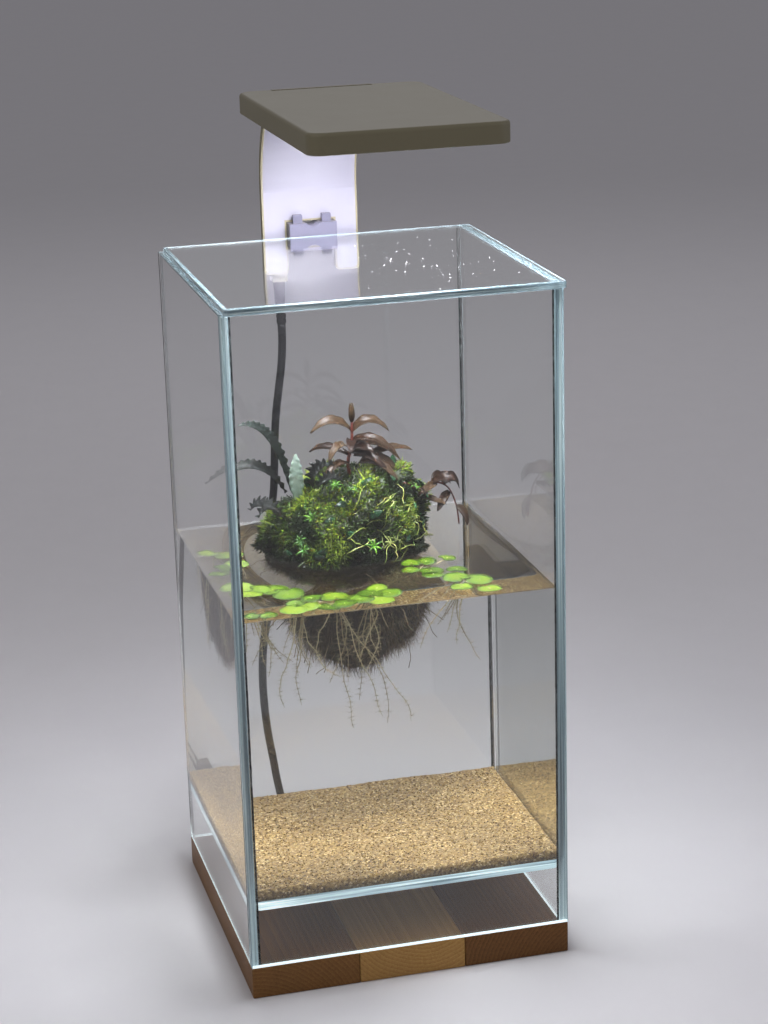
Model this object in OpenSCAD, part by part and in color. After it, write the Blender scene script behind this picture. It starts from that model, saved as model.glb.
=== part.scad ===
// Small tall aquarium on a hardwood plinth, with a loose glass lid, a floating moss island,
// floating plants and a hook-on lamp. Millimetres, +Z up, +Y to the back.
// The origin is the middle of the plinth's underside.

/* [Tank] */
// Outside width of the tank, left to right
tank_w = 200; // [170:1:260]
// Outside depth of the tank, front to back
tank_d = 200; // [170:1:260]
// Height of the four wall panels
tank_h = 400; // [360:1:500]
// Thickness of the wall panels
glass_t = 5; // [4:0.5:8]
// Silicone film between two panels that meet at a corner
seam = 0.5; // [0.3:0.1:1]
// Leg of the silicone fillet in each inside corner
bead = 3; // [2:0.5:4]
// Underside of the raised glass floor above the plinth
floor_rise = 36; // [25:1:60]
// Thickness of the raised glass floor
floor_t = 6; // [4:0.5:8]

/* [Plinth] */
// Height of the hardwood plinth
plinth_h = 20; // [15:1:40]
// Chamfer along the plinth's outer edges
plinth_edge = 1; // [0.5:0.5:2]

/* [Lid] */
// Thickness of the loose glass lid
lid_t = 4; // [3:0.5:6]
// How far the lid reaches in front of the tank
lid_front_over = 2; // [0:0.5:4]
// Gap between the lid's back edge and the lamp's clip
lid_clip_gap = 0.8; // [0.5:0.1:12]
// How far the lid has been pushed to the right
lid_shift = 1.7; // [0:0.1:3]
// Corner radius of the lid
lid_corner = 3; // [1:0.5:8]

/* [Fill] */
// Water surface above the plinth
water_level = 218; // [180:1:260]
// Depth of the sand on the raised floor
sand_h = 8; // [5:1:30]
// Gap between the water and what floats in it
float_gap = 0.4; // [0.3:0.1:1]

/* [Island] */
// Radius of the floating moss island at the water line
island_r = 54; // [40:1:60]
// Height of the moss above the water
island_top = 50; // [30:1:60]
// Depth of the island's root bowl below the water
island_draught = 70; // [40:1:80]
// Gap between the moss and the back panel
island_back_gap = 5; // [3:1:15]
// Sideways place of the island, from the middle
island_x = -4; // [-10:1:10]
// Radius of the cork float inside the moss
core_r = 34; // [20:1:36]
// How near the longest leaf comes to the left panel
leaf_wall_gap = 11; // [5:1:30]
// Height of the red stem plant above the water
stem_top = 90; // [70:1:110]

/* [Floating plants] */
// Radius of one floating leaf
pad_r = 6.5; // [5:0.5:8]
// Length of the longest root tuft
tuft_len = 100; // [60:1:120]

/* [Lamp] */
// Width of the lamp head, left to right
head_w = 115; // [100:1:140]
// Length of the lamp head, front to back
head_d = 190; // [140:1:220]
// Thickness of the lamp head
head_t = 12.3; // [11:0.1:20]
// Radius of the lamp head's upright corners
head_corner = 9; // [6:0.5:15]
// Bevel round the top of the lamp head
head_bevel = 2.5; // [1:0.5:3]
// Wall of the lamp head's cover
head_wall = 2; // [1.6:0.1:3]
// Sideways place of the lamp, from the middle
lamp_x = -1; // [-10:1:10]
// How far the lamp head sits to the right of the bracket's middle
head_shift = 5.5; // [0:0.5:6]
// Lamp head's back edge, measured forward from the tank's back face
head_setback = 40; // [35:1:60]
// LED rows from front to back
led_rows = 9; // [5:1:12]
// LED columns from left to right
led_columns = 5; // [3:1:6]

/* [Bracket] */
// Width of the bracket band
band_w = 62; // [56:1:70]
// Thickness of the bracket band, its white face included
band_t = 5; // [4.5:0.5:8]
// Thickness of the white face
face_t = 1.2; // [1:0.1:1.5]
// Inside radius of the bend
arch_r = 70; // [65:1:80]
// Height above the rim at which the bend starts
arch_rise = 31.5; // [25:0.5:50]
// Gap between the bracket and the back panel
band_gap = 1; // [0.5:0.1:2]
// Reach of the two legs below the rim
leg_drop = 24; // [20:1:40]
// Width of the notch between the legs
notch_w = 31; // [25:1:36]

/* [Clip] */
// Thickness of each jaw of the clear clip
jaw_t = 2.5; // [2:0.1:3]
// Height of the clip above the rim
clip_rise = 12; // [8:1:18]
// Reach of the jaws below the rim
jaw_drop = 9; // [6:1:15]
// Width of each tab on top of the clip
tab_w = 6; // [4:0.5:8]
// Height of each tab
tab_h = 5; // [3:0.5:8]

/* [Cord] */
// Diameter of the lamp's cord
cord_d = 5.2; // [4:0.1:5.2]

/* [Hidden] */

glass_color = [0.75, 0.88, 0.88, 0.35];
seal_color = [0.82, 0.88, 0.88, 0.6];
beige = [0.55, 0.51, 0.42];
eps = 1;                                   // overlap of cutting shapes past the face they cut

stave_count = 3;                           // glued staves in the plinth, side by side

// tank
rim_z = plinth_h + tank_h;
inner_w = tank_w - 2 * glass_t;
inner_d = tank_d - 2 * glass_t;
side_len = inner_d - 2 * seam;
floor_z = plinth_h + floor_rise;
sand_z = floor_z + floor_t;
water_bottom = sand_z + sand_h;
water_z = plinth_h + water_level;
floor_gap = 0.6;                           // silicone width all round the raised floor

// island and plants
island_y = inner_d / 2 - island_back_gap - island_r;
leaf_reach = inner_w / 2 + island_x - leaf_wall_gap;
core_up = 22;
core_down = 30;
leaf_t = 0.8;
clear_z = 0.4;                             // floating leaves ride this far above the water surface
pad_t = 1;

// each floating plant: [which side panel it is measured from (-1 left, 0 middle, 1 right),
// distance from that panel or from the middle, distance from the front panel, leaves, turn, roots]
frogbit_spots = [[-1, 15, 127, 2, 20, 0.45], [-1, 13, 96, 3, 70, 0.5], [-1, 14, 56, 3, 200, 0.55],
                 [-1, 33, 47, 2, 100, 0.5], [-1, 14, 12, 2, 330, 0.4], [-1, 36, 13, 3, 30, 0.7],
                 [0, -36, 18, 4, 60, 1], [0, -14, 20, 4, 10, 0.8], [0, 26, 62, 3, 120, 0.3],
                 [0, 46, 36, 4, 40, 0.6]];

// lamp head
head_back_y = tank_d / 2 - head_setback;
arch_out = arch_r + band_t;
arch_y = tank_d / 2 + band_gap - arch_r;
arch_z = rim_z + arch_rise;
tongue_y = head_back_y - 6;                // front face of the knuckle that fills the cover's notch
crest_y = head_back_y - 3;                 // the band crosses the head's top edge here
crest = 0.3;                               // and its knuckle stands this far above it
head_top_z = arch_z + sqrt(pow(arch_out, 2) - pow(crest_y - arch_y, 2)) - crest;
head_z = head_top_z - head_t;
head_mid_y = head_back_y - head_d / 2;
fit = 0.2;                                 // clearance round pieces that fit into another
bezel_t = 2.5;
bezel_rim = 6;
diffuser_t = 1.6;
board_t = 1.6;
board_z = head_z + 5;
chip = 3.5;
chip_t = 0.8;
boss_r = 3;
screw_r = 1.2;
boss_x = head_w / 2 - 12;
boss_y = head_d / 2 - 16;
screw_head_r = 2.2;
screw_head_t = 1.2;
screw_grip = 4;                            // thread length in a boss, the knuckle or the shell
lid_back_strip = glass_t + fit + jaw_t + lid_clip_gap;

// bracket and clip
band_in_y = tank_d / 2 + band_gap;
band_out_y = band_in_y + band_t;
band_edge = 1.2;                           // rim of the shell beside the white face
leg_z = rim_z - leg_drop;
leg_corner = 3;
face_top_z = head_z - fit;                 // the white face ends just under the lamp head
shell_top_z = head_top_z + crest;
lead_w = 5;
lead_t = 1;
clip_w = notch_w - 2 * fit;
clip_front_y = tank_d / 2 - glass_t - fit - jaw_t;
clip_back_y = band_out_y;
flange_t = 2;
flange_w = notch_w + 16;
clip_screw_x = notch_w / 2 + 4;
clip_screw_z = rim_z + 5;
clip_thread = band_t - face_t - fit;       // depth of the clip screws' bores in the shell
arm_screw_x = band_w / 4;
arm_screw_y = (tongue_y + head_back_y) / 2;

// cord: the gland sits on the back of the left leg, and the boot and cord hang below it
cord_r = cord_d / 2;
gland_x = lamp_x - notch_w / 2 - 4.75;
gland_z = leg_z - 6;
gland_h = 16;
gland_w = 9.5;
gland_d = 8;
gland_y = band_out_y + 4;
boot_len = 24;
boot_top_r = 3.8;
boot_low_r = 3.1;
cord_points = [[-21.25, 110, 366], [-21.25, 110, 354], [-22.5, 110, 338], [-25, 110, 322],
               [-27.5, 110, 305], [-29, 110, 288], [-30, 110, 270], [-31.5, 110, 252],
               [-35, 110.5, 234], [-40, 111, 216], [-45.5, 111.5, 198], [-50.5, 112, 180],
               [-53.5, 112, 161], [-54.5, 112, 142], [-54, 112.5, 124], [-52.5, 113, 106],
               [-50, 113.5, 88], [-47.5, 114, 70], [-44, 114.5, 52], [-38.5, 114.5, 35],
               [-30, 114.5, 20], [-19.5, 114.5, 9], [-10, 114.5, 4], [0, 114.5, 2.6]];
coil_pitch = 5.4;
coil_in_r = 26.3;
coil_out_r = coil_in_r + coil_pitch;
coil_layers = 3;
coil_x = 0;
coil_y = 114.5 + coil_out_r;
tail_points = [[0, 114.5, 13.4], [10, 114.5, 13.5], [20, 114.5, 13.8], [30, 114.5, 14]];
tail_end = tail_points[len(tail_points) - 1];
adapter_boot_len = 20;
adapter_w = 44;
adapter_d = 26;
adapter_h = 28;
adapter_x = tail_end[0] + adapter_boot_len;
adapter_y = 101.5;
pin_r = 2;
pin_len = 19;
pin_gap = 18.6;

// ---------- shared shapes ----------

// A box from its lowest corner, centred across X
module bar(w, d, h, x, y, z) {
    translate([x - w / 2, y, z]) cube([w, d, h]);
}

// A flat rectangle with round corners, centred
module round_rect(w, d, r) {
    square([w - 2 * r, d], center = true);
    square([w, d - 2 * r], center = true);
    for (sx = [-1, 1], sy = [-1, 1])
        translate([sx * (w / 2 - r), sy * (d / 2 - r)]) circle(r, $fn = 48);
}

// The space between the panels, cut off at the corners by the silicone fillets
module inside_outline(inset = 0) {
    a = inner_w / 2 - inset;
    b = inner_d / 2 - inset;
    c = max(bead - inset, 0.1);
    polygon([[-a + c, -b], [a - c, -b], [a, -b + c], [a, b - c],
             [a - c, b], [-a + c, b], [-a, b - c], [-a, -b + c]]);
}

function bezier(a, b, c, t) = (1 - t) * (1 - t) * a + 2 * (1 - t) * t * b + t * t * c;
function unit(v) = v / norm(v);

// A leaf blade: a thin closed solid along a curve from a to c, bowed towards b
module blade(a, b, c, width, rings = 8) {
    side = unit(cross(c - a, [0, 0, 1]));
    lift = unit(cross(side, c - a));
    sections = [for (i = [0:rings])
        let (t = i / rings,
             half = width / 2 * max(0.12, pow(sin(180 * (0.06 + 0.9 * t)), 0.8)),
             p = bezier(a, b, c, t))
        [p - half * side, p - leaf_t / 2 * lift, p + half * side, p + leaf_t / 2 * lift]];
    closed_tube(sections);
}

// A closed solid through rings of points, all rings with the same number of points
module closed_tube(sections) {
    n = len(sections);
    m = len(sections[0]);
    points = [for (s = sections) each s];
    walls = [for (i = [0:n - 2], j = [0:m - 1])
        let (k = (j + 1) % m)
        [i * m + j, i * m + k, (i + 1) * m + k, (i + 1) * m + j]];
    first = [[for (j = [m - 1:-1:0]) j]];
    last = [[for (j = [0:m - 1]) (n - 1) * m + j]];
    polyhedron(points, concat(walls, first, last), convexity = 6);
}

// A round tube swept along points that lie close together
module swept_tube(points, r, sides = 8) {
    n = len(points);
    sections = [for (i = [0:n - 1])
        let (before = points[max(i - 1, 0)],
             after = points[min(i + 1, n - 1)],
             ahead = unit(after - before),
             u = unit(cross(ahead, [0, 1, 0])),
             v = cross(u, ahead))
        [for (j = [0:sides - 1])
            points[i] + r * (cos(360 * j / sides) * u + sin(360 * j / sides) * v)]];
    closed_tube(sections);
}

// ---------- plinth ----------

module plinth_outline() {
    hull() {
        bar(tank_w - 2 * plinth_edge, tank_d - 2 * plinth_edge, plinth_h, 0,
            -tank_d / 2 + plinth_edge, 0);
        bar(tank_w, tank_d, plinth_h - 2 * plinth_edge, 0, -tank_d / 2, plinth_edge);
    }
}

module plinth_stave(i, tint) {
    stave_w = tank_w / stave_count;
    color(tint)
    intersection() {
        plinth_outline();
        translate([-tank_w / 2 + i * stave_w, -tank_d / 2, 0]) cube([stave_w, tank_d, plinth_h]);
    }
}

module plinth_stave_left() plinth_stave(0, [0.45, 0.27, 0.13]);
module plinth_stave_middle() plinth_stave(1, [0.58, 0.38, 0.2]);
module plinth_stave_right() plinth_stave(2, [0.36, 0.2, 0.09]);

// ---------- tank ----------

module glass_front()
    color(glass_color) bar(tank_w, glass_t, tank_h, 0, -tank_d / 2, plinth_h);

module glass_back()
    color(glass_color) bar(tank_w, glass_t, tank_h, 0, tank_d / 2 - glass_t, plinth_h);

module glass_side(side)
    color(glass_color)
    bar(glass_t, side_len, tank_h, side * (tank_w - glass_t) / 2, -side_len / 2, plinth_h);

module glass_left() glass_side(-1);
module glass_right() glass_side(1);

module glass_floor()
    color(glass_color)
    translate([0, 0, floor_z]) linear_extrude(floor_t) inside_outline(floor_gap);

module seal_front_left() corner_seal(-1, -1);
module seal_front_right() corner_seal(1, -1);
module seal_back_left() corner_seal(-1, 1);
module seal_back_right() corner_seal(1, 1);

// The film between two panels and the fillet in the corner inside them
module corner_seal(sx, sy) {
    flip_x = sx < 0 ? 1 : 0;
    flip_y = sy < 0 ? 1 : 0;
    color(seal_color)
    mirror([flip_x, 0, 0])
    mirror([0, flip_y, 0])
    translate([inner_w / 2, inner_d / 2, plinth_h])
    linear_extrude(tank_h)
    polygon([[glass_t, 0], [glass_t, -seam], [0, -seam], [0, -bead], [-bead, 0]]);
}

module floor_seal()
    color(seal_color)
    translate([0, 0, floor_z])
    linear_extrude(floor_t)
    difference() {
        inside_outline();
        inside_outline(floor_gap);
    }

module glass_lid() {
    depth = tank_d + lid_front_over - lid_back_strip;
    color(glass_color)
    translate([lid_shift, -tank_d / 2 - lid_front_over + depth / 2, rim_z])
    linear_extrude(lid_t)
    round_rect(tank_w, depth, lid_corner);
}

// ---------- sand and water ----------

module sand_bed()
    color([0.76, 0.6, 0.36])
    translate([0, 0, sand_z]) linear_extrude(sand_h) inside_outline();

module water()
    color([0.8, 0.85, 0.8, 0.25])
    difference() {
        translate([0, 0, water_bottom]) linear_extrude(water_z - water_bottom) inside_outline();
        island_place() rotate_extrude($fn = 96) bowl_outline(float_gap);
        for (i = [0:len(frogbit_spots) - 1]) frogbit_root(i, float_gap);
    }

// ---------- floating island ----------

module island_place() translate([island_x, island_y, water_z]) children();

// Half outline of the root bowl: an ellipse-like arc below the water line
function bowl_points(grow) = [for (a = [0:15:90])
    [(island_r + grow) * pow(cos(a), 0.8), -(island_draught + grow) * pow(sin(a), 1.15)]];

function dome_points() = [for (a = [0:15:90])
    [island_r * pow(cos(a), 0.7), island_top * sin(a)]];

module bowl_outline(grow)
    polygon(concat([[0, eps]], [[island_r + grow, eps]], bowl_points(grow)));

module core_outline() {
    polygon([[0, -core_down], [core_r * 0.7, -core_down], [core_r, -core_down * 0.5],
             [core_r, core_up * 0.4], [core_r * 0.6, core_up], [0, core_up]]);
}

module island_core()
    color([0.35, 0.25, 0.16])
    island_place() rotate_extrude($fn = 64) core_outline();

module island_moss()
    color([0.2, 0.32, 0.08])
    island_place()
    rotate_extrude($fn = 64)
    difference() {
        polygon(concat([[0, 0]], dome_points()));
        core_outline();
    }

module island_roots()
    color([0.16, 0.14, 0.08])
    island_place()
    rotate_extrude($fn = 64)
    difference() {
        polygon(concat([[0, 0]], bowl_points(0)));
        core_outline();
    }

// Height of the dome's surface at a distance from its middle
function dome_z(r) = island_top * sin(acos(min(1, pow(r / island_r, 1 / 0.7))));

// The red stem plant: an upright stem with leaves that arch out in pairs
module red_stem_plant() {
    foot = [8, 0, dome_z(8) + 0.3];
    tip = [10, 0, stem_top];
    leaf_turns = [200, 20, 260, 330, 150, 80];
    color([0.4, 0.2, 0.12])
    island_place() {
        swept_tube([foot, [8, 0, stem_top * 0.75], [9, 0, stem_top - 18]], 1.1, 8);
        for (i = [0:5]) {
            turn = leaf_turns[i];
            base = [8.5, 0, stem_top - 20 - 4 * floor(i / 2)];
            out = [cos(turn), sin(turn), 0];
            blade(base + 1.6 * out, base + 13 * out + [0, 0, 12], base + 27 * out + [0, 0, 1], 6);
        }
        blade([9, 0, stem_top - 17], [10, 0, stem_top - 8], tip, 4);
    }
}

// Long narrow leaves on the island's left, the longest reaching towards the left panel
module ruffled_leaves() {
    root = [24 - island_r, 4, dome_z(island_r - 24) + 2.5];
    color([0.14, 0.16, 0.12])
    island_place() {
        blade(root, [-44, -2, 92], [-leaf_reach * 0.8, -6, 84], 5, 10);
        blade(root + [-3, 3, 0], [-52, 6, 66], [-leaf_reach, 2, 46], 5, 10);
        blade(root + [2, -6, -1], [-32, -4, 62], [-29, -6, 68], 9);
        blade([18 - island_r, -20, dome_z(island_r - 13) + 4], [6 - island_r, -24, 48],
              [-2 - island_r, -24, 32], 8);
        blade([34 - island_r, -14, dome_z(island_r - 30) + 3.5], [-24, -20, 58], [-10, -22, 56], 8);
    }
}

// A short runner with leaves at the island's right
module right_sprig() {
    root = [island_r - 10, -4, dome_z(island_r - 10) + 1.5];
    color([0.3, 0.22, 0.1])
    island_place() {
        blade(root, [island_r + 4, -6, 44], [island_r + 18, -8, 24], 5, 10);
        blade(root + [-3, 6, 3], [island_r + 6, 8, 36], [island_r + 22, 6, 10], 6, 10);
    }
}

// ---------- floating plants ----------

function frogbit_x(s) = s[0] == 0 ? s[1] : s[0] * (inner_w / 2 - s[1]);
function frogbit_y(s) = -inner_d / 2 + s[2];

module frogbit_root(i, grow) {
    s = frogbit_spots[i];
    length = tuft_len * s[5];
    translate([frogbit_x(s), frogbit_y(s), water_z - length - grow])
    cylinder(h = length + grow + eps, r1 = 1.2 + grow, r2 = 4 + grow, $fn = 24);
}

module frogbit(i) {
    s = frogbit_spots[i];
    pads = s[3];
    color([0.45, 0.68, 0.16])
    union() {
        intersection() {
            frogbit_root(i, 0);
            translate([0, 0, water_z - tuft_len]) linear_extrude(tuft_len + clear_z) inside_outline();
        }
        translate([frogbit_x(s), frogbit_y(s), water_z + clear_z]) {
            cylinder(h = pad_t, r = 4, $fn = 24);
            for (k = [0:pads - 1])
                rotate(s[4] + 360 * k / pads)
                translate([5, 0, 0])
                cylinder(h = pad_t, r = pad_r, $fn = 24);
        }
    }
}

// ---------- lamp head ----------

module head_place() translate([lamp_x + head_shift, head_mid_y, head_z]) children();

module head_outline(inset = 0)
    round_rect(head_w - 2 * inset, head_d - 2 * inset, head_corner - inset);

// The notch in the back edge of the head that takes the bracket's knuckle
module knuckle_space(grow)
    bar(band_w + 2 * grow, 3 * band_t, head_t + 2 * eps, -head_shift,
        head_d / 2 - (head_back_y - tongue_y) - grow, -eps);

module lamp_cover() {
    cavity_h = head_t - head_wall;
    color(beige)
    head_place()
    difference() {
        hull()
        for (sx = [-1, 1], sy = [-1, 1])
            translate([sx * (head_w / 2 - head_corner), sy * (head_d / 2 - head_corner), 0]) {
                cylinder(h = head_t - head_bevel, r = head_corner, $fn = 40);
                cylinder(h = head_t, r = head_corner - head_bevel, $fn = 40);
            }
        difference() {
            translate([0, 0, -eps]) linear_extrude(cavity_h + eps) head_outline(head_wall);
            knuckle_space(head_wall);
            for (sx = [-1, 1], sy = [-1, 1])
                translate([sx * boss_x, sy * boss_y, board_z + board_t - head_z])
                cylinder(h = head_t, r = boss_r, $fn = 32);
        }
        knuckle_space(fit);
        for (sx = [-1, 1], sy = [-1, 1])
            translate([sx * boss_x, sy * boss_y, board_z + board_t - head_z - eps])
            cylinder(h = screw_grip + eps, r = screw_r, $fn = 32);
    }
}

// A screw that points up, with its head's top face at the origin and its shank above it
module screw(shank) {
    translate([0, 0, -screw_head_t]) cylinder(h = screw_head_t, r = screw_head_r, $fn = 32);
    cylinder(h = shank, r = screw_r, $fn = 32);
}

module lamp_bezel()
    color([0.75, 0.75, 0.78])
    head_place()
    difference() {
        linear_extrude(bezel_t) head_outline(head_wall + fit);
        translate([0, 0, -eps]) linear_extrude(bezel_t + 2 * eps) head_outline(head_wall + bezel_rim);
        translate([0, 0, bezel_t - diffuser_t])
            linear_extrude(bezel_t) head_outline(head_wall + bezel_rim - 2);
        knuckle_space(head_wall + fit);
    }

module lamp_diffuser()
    color([0.93, 0.93, 1, 0.6])
    head_place()
    translate([0, 0, bezel_t - diffuser_t])
    linear_extrude(diffuser_t)
    difference() {
        head_outline(head_wall + bezel_rim - 2 + fit);
        knuckle_notch();
    }

// The knuckle's notch seen from above, for flat pieces
module knuckle_notch() {
    grow = head_wall + fit;
    translate([-head_shift - band_w / 2 - grow, head_d / 2 - (head_back_y - tongue_y) - grow])
        square([band_w + 2 * grow, 4 * band_t]);
}

module led_board()
    color([0.9, 0.9, 0.92])
    head_place()
    translate([0, 0, board_z - head_z])
    difference() {
        linear_extrude(board_t) round_rect(head_w - 16, head_d - 24, 3);
        for (sx = [-1, 1], sy = [-1, 1])
            translate([sx * boss_x, sy * boss_y, -eps])
            cylinder(h = board_t + 2 * eps, r = screw_r, $fn = 32);
    }

module led_chips() {
    step_x = (head_w - 44) / (led_columns - 1);
    step_y = (head_d - 60) / (led_rows - 1);
    color([1, 0.95, 0.6])
    head_place()
    for (i = [0:led_columns - 1], j = [0:led_rows - 1])
        bar(chip, chip, chip_t, (i - (led_columns - 1) / 2) * step_x,
            (j - (led_rows - 1) / 2) * step_y - chip / 2, board_z - head_z - chip_t);
}

module head_screws()
    color([0.7, 0.7, 0.72])
    head_place()
    for (sx = [-1, 1], sy = [-1, 1])
        translate([sx * boss_x, sy * boss_y, board_z - head_z])
        screw(board_t + screw_grip - eps);

// ---------- bracket ----------

// Side view of a layer of the band between two thicknesses, X being the depth and Y the height.
// The bend runs on from the legs until it passes front_y or top_z.
module band_side(inner, outer, front_y, top_z) {
    intersection() {
        translate([arch_y, arch_z])
        difference() {
            circle(arch_r + outer, $fn = 180);
            circle(arch_r + inner, $fn = 180);
        }
        translate([front_y, arch_z]) square([2 * arch_out, top_z - arch_z]);
    }
    translate([arch_y + arch_r + inner, leg_z]) square([outer - inner, arch_z - leg_z]);
}

// Puts a side view across the lamp's middle with a given width
module across(w)
    translate([lamp_x - w / 2, 0, 0])
    rotate([90, 0, 90])
    linear_extrude(w)
    children();

// Front view of the band: full width above, two legs with round corners below
module band_front(inset) {
    w = band_w - 2 * inset;
    leg_w = (band_w - notch_w) / 2 - 2 * inset;
    low = leg_z + inset;
    translate([lamp_x, 0])
    for (s = [-1, 1])
        translate([s * (notch_w / 2 + inset + leg_w / 2) - leg_w / 2, low]) {
            translate([0, leg_corner]) square([leg_w, leg_drop + clip_rise]);
            translate([leg_corner, 0]) square([leg_w - 2 * leg_corner, leg_corner]);
            for (x = [leg_corner, leg_w - leg_corner])
                translate([x, leg_corner]) circle(leg_corner, $fn = 48);
        }
    translate([lamp_x - w / 2, rim_z + clip_rise + fit + inset]) square([w, 2 * arch_out]);
}

module band_cut(inset)
    translate([0, 2 * tank_d, 0]) rotate([90, 0, 0]) linear_extrude(3 * tank_d) band_front(inset);

module bracket_shell()
    color(beige)
    difference() {
        union() {
            intersection() {
                across(band_w) band_side(0, band_t, tongue_y, shell_top_z);
                band_cut(0);
            }
            bar(band_w, head_back_y - tongue_y, head_t, lamp_x, tongue_y, head_z);
        }
        intersection() {
            across(band_w) band_side(-eps, face_t, arch_y, face_top_z);
            band_cut(band_edge);
        }
        across(lead_w) band_side(face_t, face_t + lead_t, arch_y, face_top_z);
        for (s = [-1, 1]) {
            translate([lamp_x + s * clip_screw_x, band_out_y + eps, clip_screw_z])
                rotate([90, 0, 0]) cylinder(h = clip_thread + eps, r = screw_r, $fn = 32);
            translate([lamp_x + s * arm_screw_x, arm_screw_y, head_z - eps])
                cylinder(h = screw_grip + eps, r = screw_r, $fn = 32);
        }
    }

module bracket_face()
    color([0.95, 0.95, 0.97])
    intersection() {
        across(band_w) band_side(0, face_t, arch_y, face_top_z);
        band_cut(band_edge);
    }

// The flat lead inside the bracket, between the white face and the shell
module inner_lead()
    color([0.1, 0.1, 0.1])
    difference() {
        across(lead_w) band_side(face_t, face_t + lead_t, arch_y, face_top_z);
        translate([lamp_x - tank_w / 2, 0, 0]) cube([tank_w, 2 * tank_d, rim_z + clip_rise + 2]);
    }

// Two screws that hold the cover to the bracket's knuckle, from below
module arm_screws()
    color([0.7, 0.7, 0.72])
    for (s = [-1, 1])
        translate([lamp_x + s * arm_screw_x, arm_screw_y, head_z]) screw(screw_grip - eps);

// ---------- clip ----------

module wall_clip() {
    slot_front = tank_d / 2 - glass_t - fit;
    slot_back = tank_d / 2 + fit;
    depth = clip_back_y - clip_front_y;
    color([0.85, 0.87, 1, 0.5])
    difference() {
        union() {
            bar(clip_w, depth, clip_rise + jaw_drop, lamp_x, clip_front_y, rim_z - jaw_drop);
            for (s = [-1, 1])
                bar(tab_w, jaw_t + 1, tab_h, lamp_x + s * (clip_w / 2 - tab_w / 2 - 3), clip_front_y + 3,
                    rim_z + clip_rise);
            bar(flange_w, flange_t, clip_rise - 1, lamp_x, clip_back_y, rim_z);
        }
        translate([lamp_x - clip_w, slot_front, rim_z - jaw_drop - eps])
            cube([2 * clip_w, slot_back - slot_front, jaw_drop + eps]);
        translate([lamp_x, clip_front_y - eps, rim_z + clip_rise + 4])
            rotate([-90, 0, 0]) cylinder(h = depth + 2 * eps + flange_t, r = 6, $fn = 48);
        for (s = [-1, 1])
            translate([lamp_x + s * clip_screw_x, clip_back_y - eps, clip_screw_z])
            rotate([-90, 0, 0]) cylinder(h = flange_t + 2 * eps, r = screw_r + fit, $fn = 32);
    }
}

module clip_screws()
    color([0.7, 0.7, 0.72])
    for (s = [-1, 1])
        translate([lamp_x + s * clip_screw_x, clip_back_y + flange_t, clip_screw_z])
        rotate([90, 0, 0]) screw(flange_t + clip_thread - eps);

// ---------- cord, coil and adapter ----------

module cord_gland()
    color(beige)
    difference() {
        bar(gland_w, gland_d, gland_h, gland_x, band_out_y, gland_z);
        translate([gland_x, gland_y, gland_z - eps]) cylinder(h = 6 + eps, r = cord_r, $fn = 32);
    }

module cord_boot()
    color([0.06, 0.06, 0.06])
    translate([gland_x, gland_y, gland_z - boot_len])
    cylinder(h = boot_len, r1 = boot_low_r, r2 = boot_top_r, $fn = 32);

module lamp_cord() color([0.05, 0.05, 0.05]) swept_tube(cord_points, cord_r, 8);

module cord_tail() color([0.05, 0.05, 0.05]) swept_tube(tail_points, cord_r, 8);

module cord_coil() {
    low_r = coil_in_r - cord_r;
    wide = coil_pitch + cord_d;
    high = cord_d + (coil_layers - 1) * coil_pitch;
    color([0.05, 0.05, 0.05])
    translate([coil_x, coil_y, 0])
    rotate_extrude($fn = 64) translate([low_r, 0]) square([wide, high]);
}

module adapter_boot()
    color([0.06, 0.06, 0.06])
    translate(tail_end)
    rotate([0, 90, 0]) cylinder(h = adapter_boot_len, r1 = boot_low_r, r2 = boot_top_r + 1, $fn = 32);

module adapter_body()
    color([0.07, 0.07, 0.07])
    translate([adapter_x, adapter_y, 0])
    hull()
    for (x = [2, adapter_w - 2], z = [2, adapter_h - 2])
        translate([x, adapter_d, z]) rotate([90, 0, 0]) cylinder(h = adapter_d, r = 2, $fn = 24);

module adapter_pins()
    color([0.8, 0.8, 0.82])
    for (s = [-1, 1])
        translate([adapter_x + adapter_w / 2 + s * pin_gap / 2, adapter_y + adapter_d, adapter_h / 2])
        rotate([-90, 0, 0]) cylinder(h = pin_len, r = pin_r, $fn = 32);

// ---------- output ----------

plinth_stave_left();
plinth_stave_middle();
plinth_stave_right();
glass_front();
glass_back();
glass_left();
glass_right();
glass_floor();
seal_front_left();
seal_front_right();
seal_back_left();
seal_back_right();
floor_seal();
glass_lid();
sand_bed();
water();
island_core();
island_moss();
island_roots();
red_stem_plant();
ruffled_leaves();
right_sprig();
frogbit(0);  // frogbit_1
frogbit(1);  // frogbit_2
frogbit(2);  // frogbit_3
frogbit(3);  // frogbit_4
frogbit(4);  // frogbit_5
frogbit(5);  // frogbit_6
frogbit(6);  // frogbit_7
frogbit(7);  // frogbit_8
frogbit(8);  // frogbit_9
frogbit(9);  // frogbit_10
lamp_cover();
lamp_bezel();
lamp_diffuser();
led_board();
led_chips();
head_screws();
bracket_shell();
bracket_face();
inner_lead();
arm_screws();
wall_clip();
clip_screws();
cord_gland();
cord_boot();
lamp_cord();
cord_coil();
cord_tail();
adapter_boot();
adapter_body();
adapter_pins();
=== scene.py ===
"""Looks of a small tall aquarium: glass, water, sand, moss island, floating plants, lamp. In metres."""
import math

import bpy
import numpy as np
from mathutils import Matrix, Vector, noise


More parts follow.
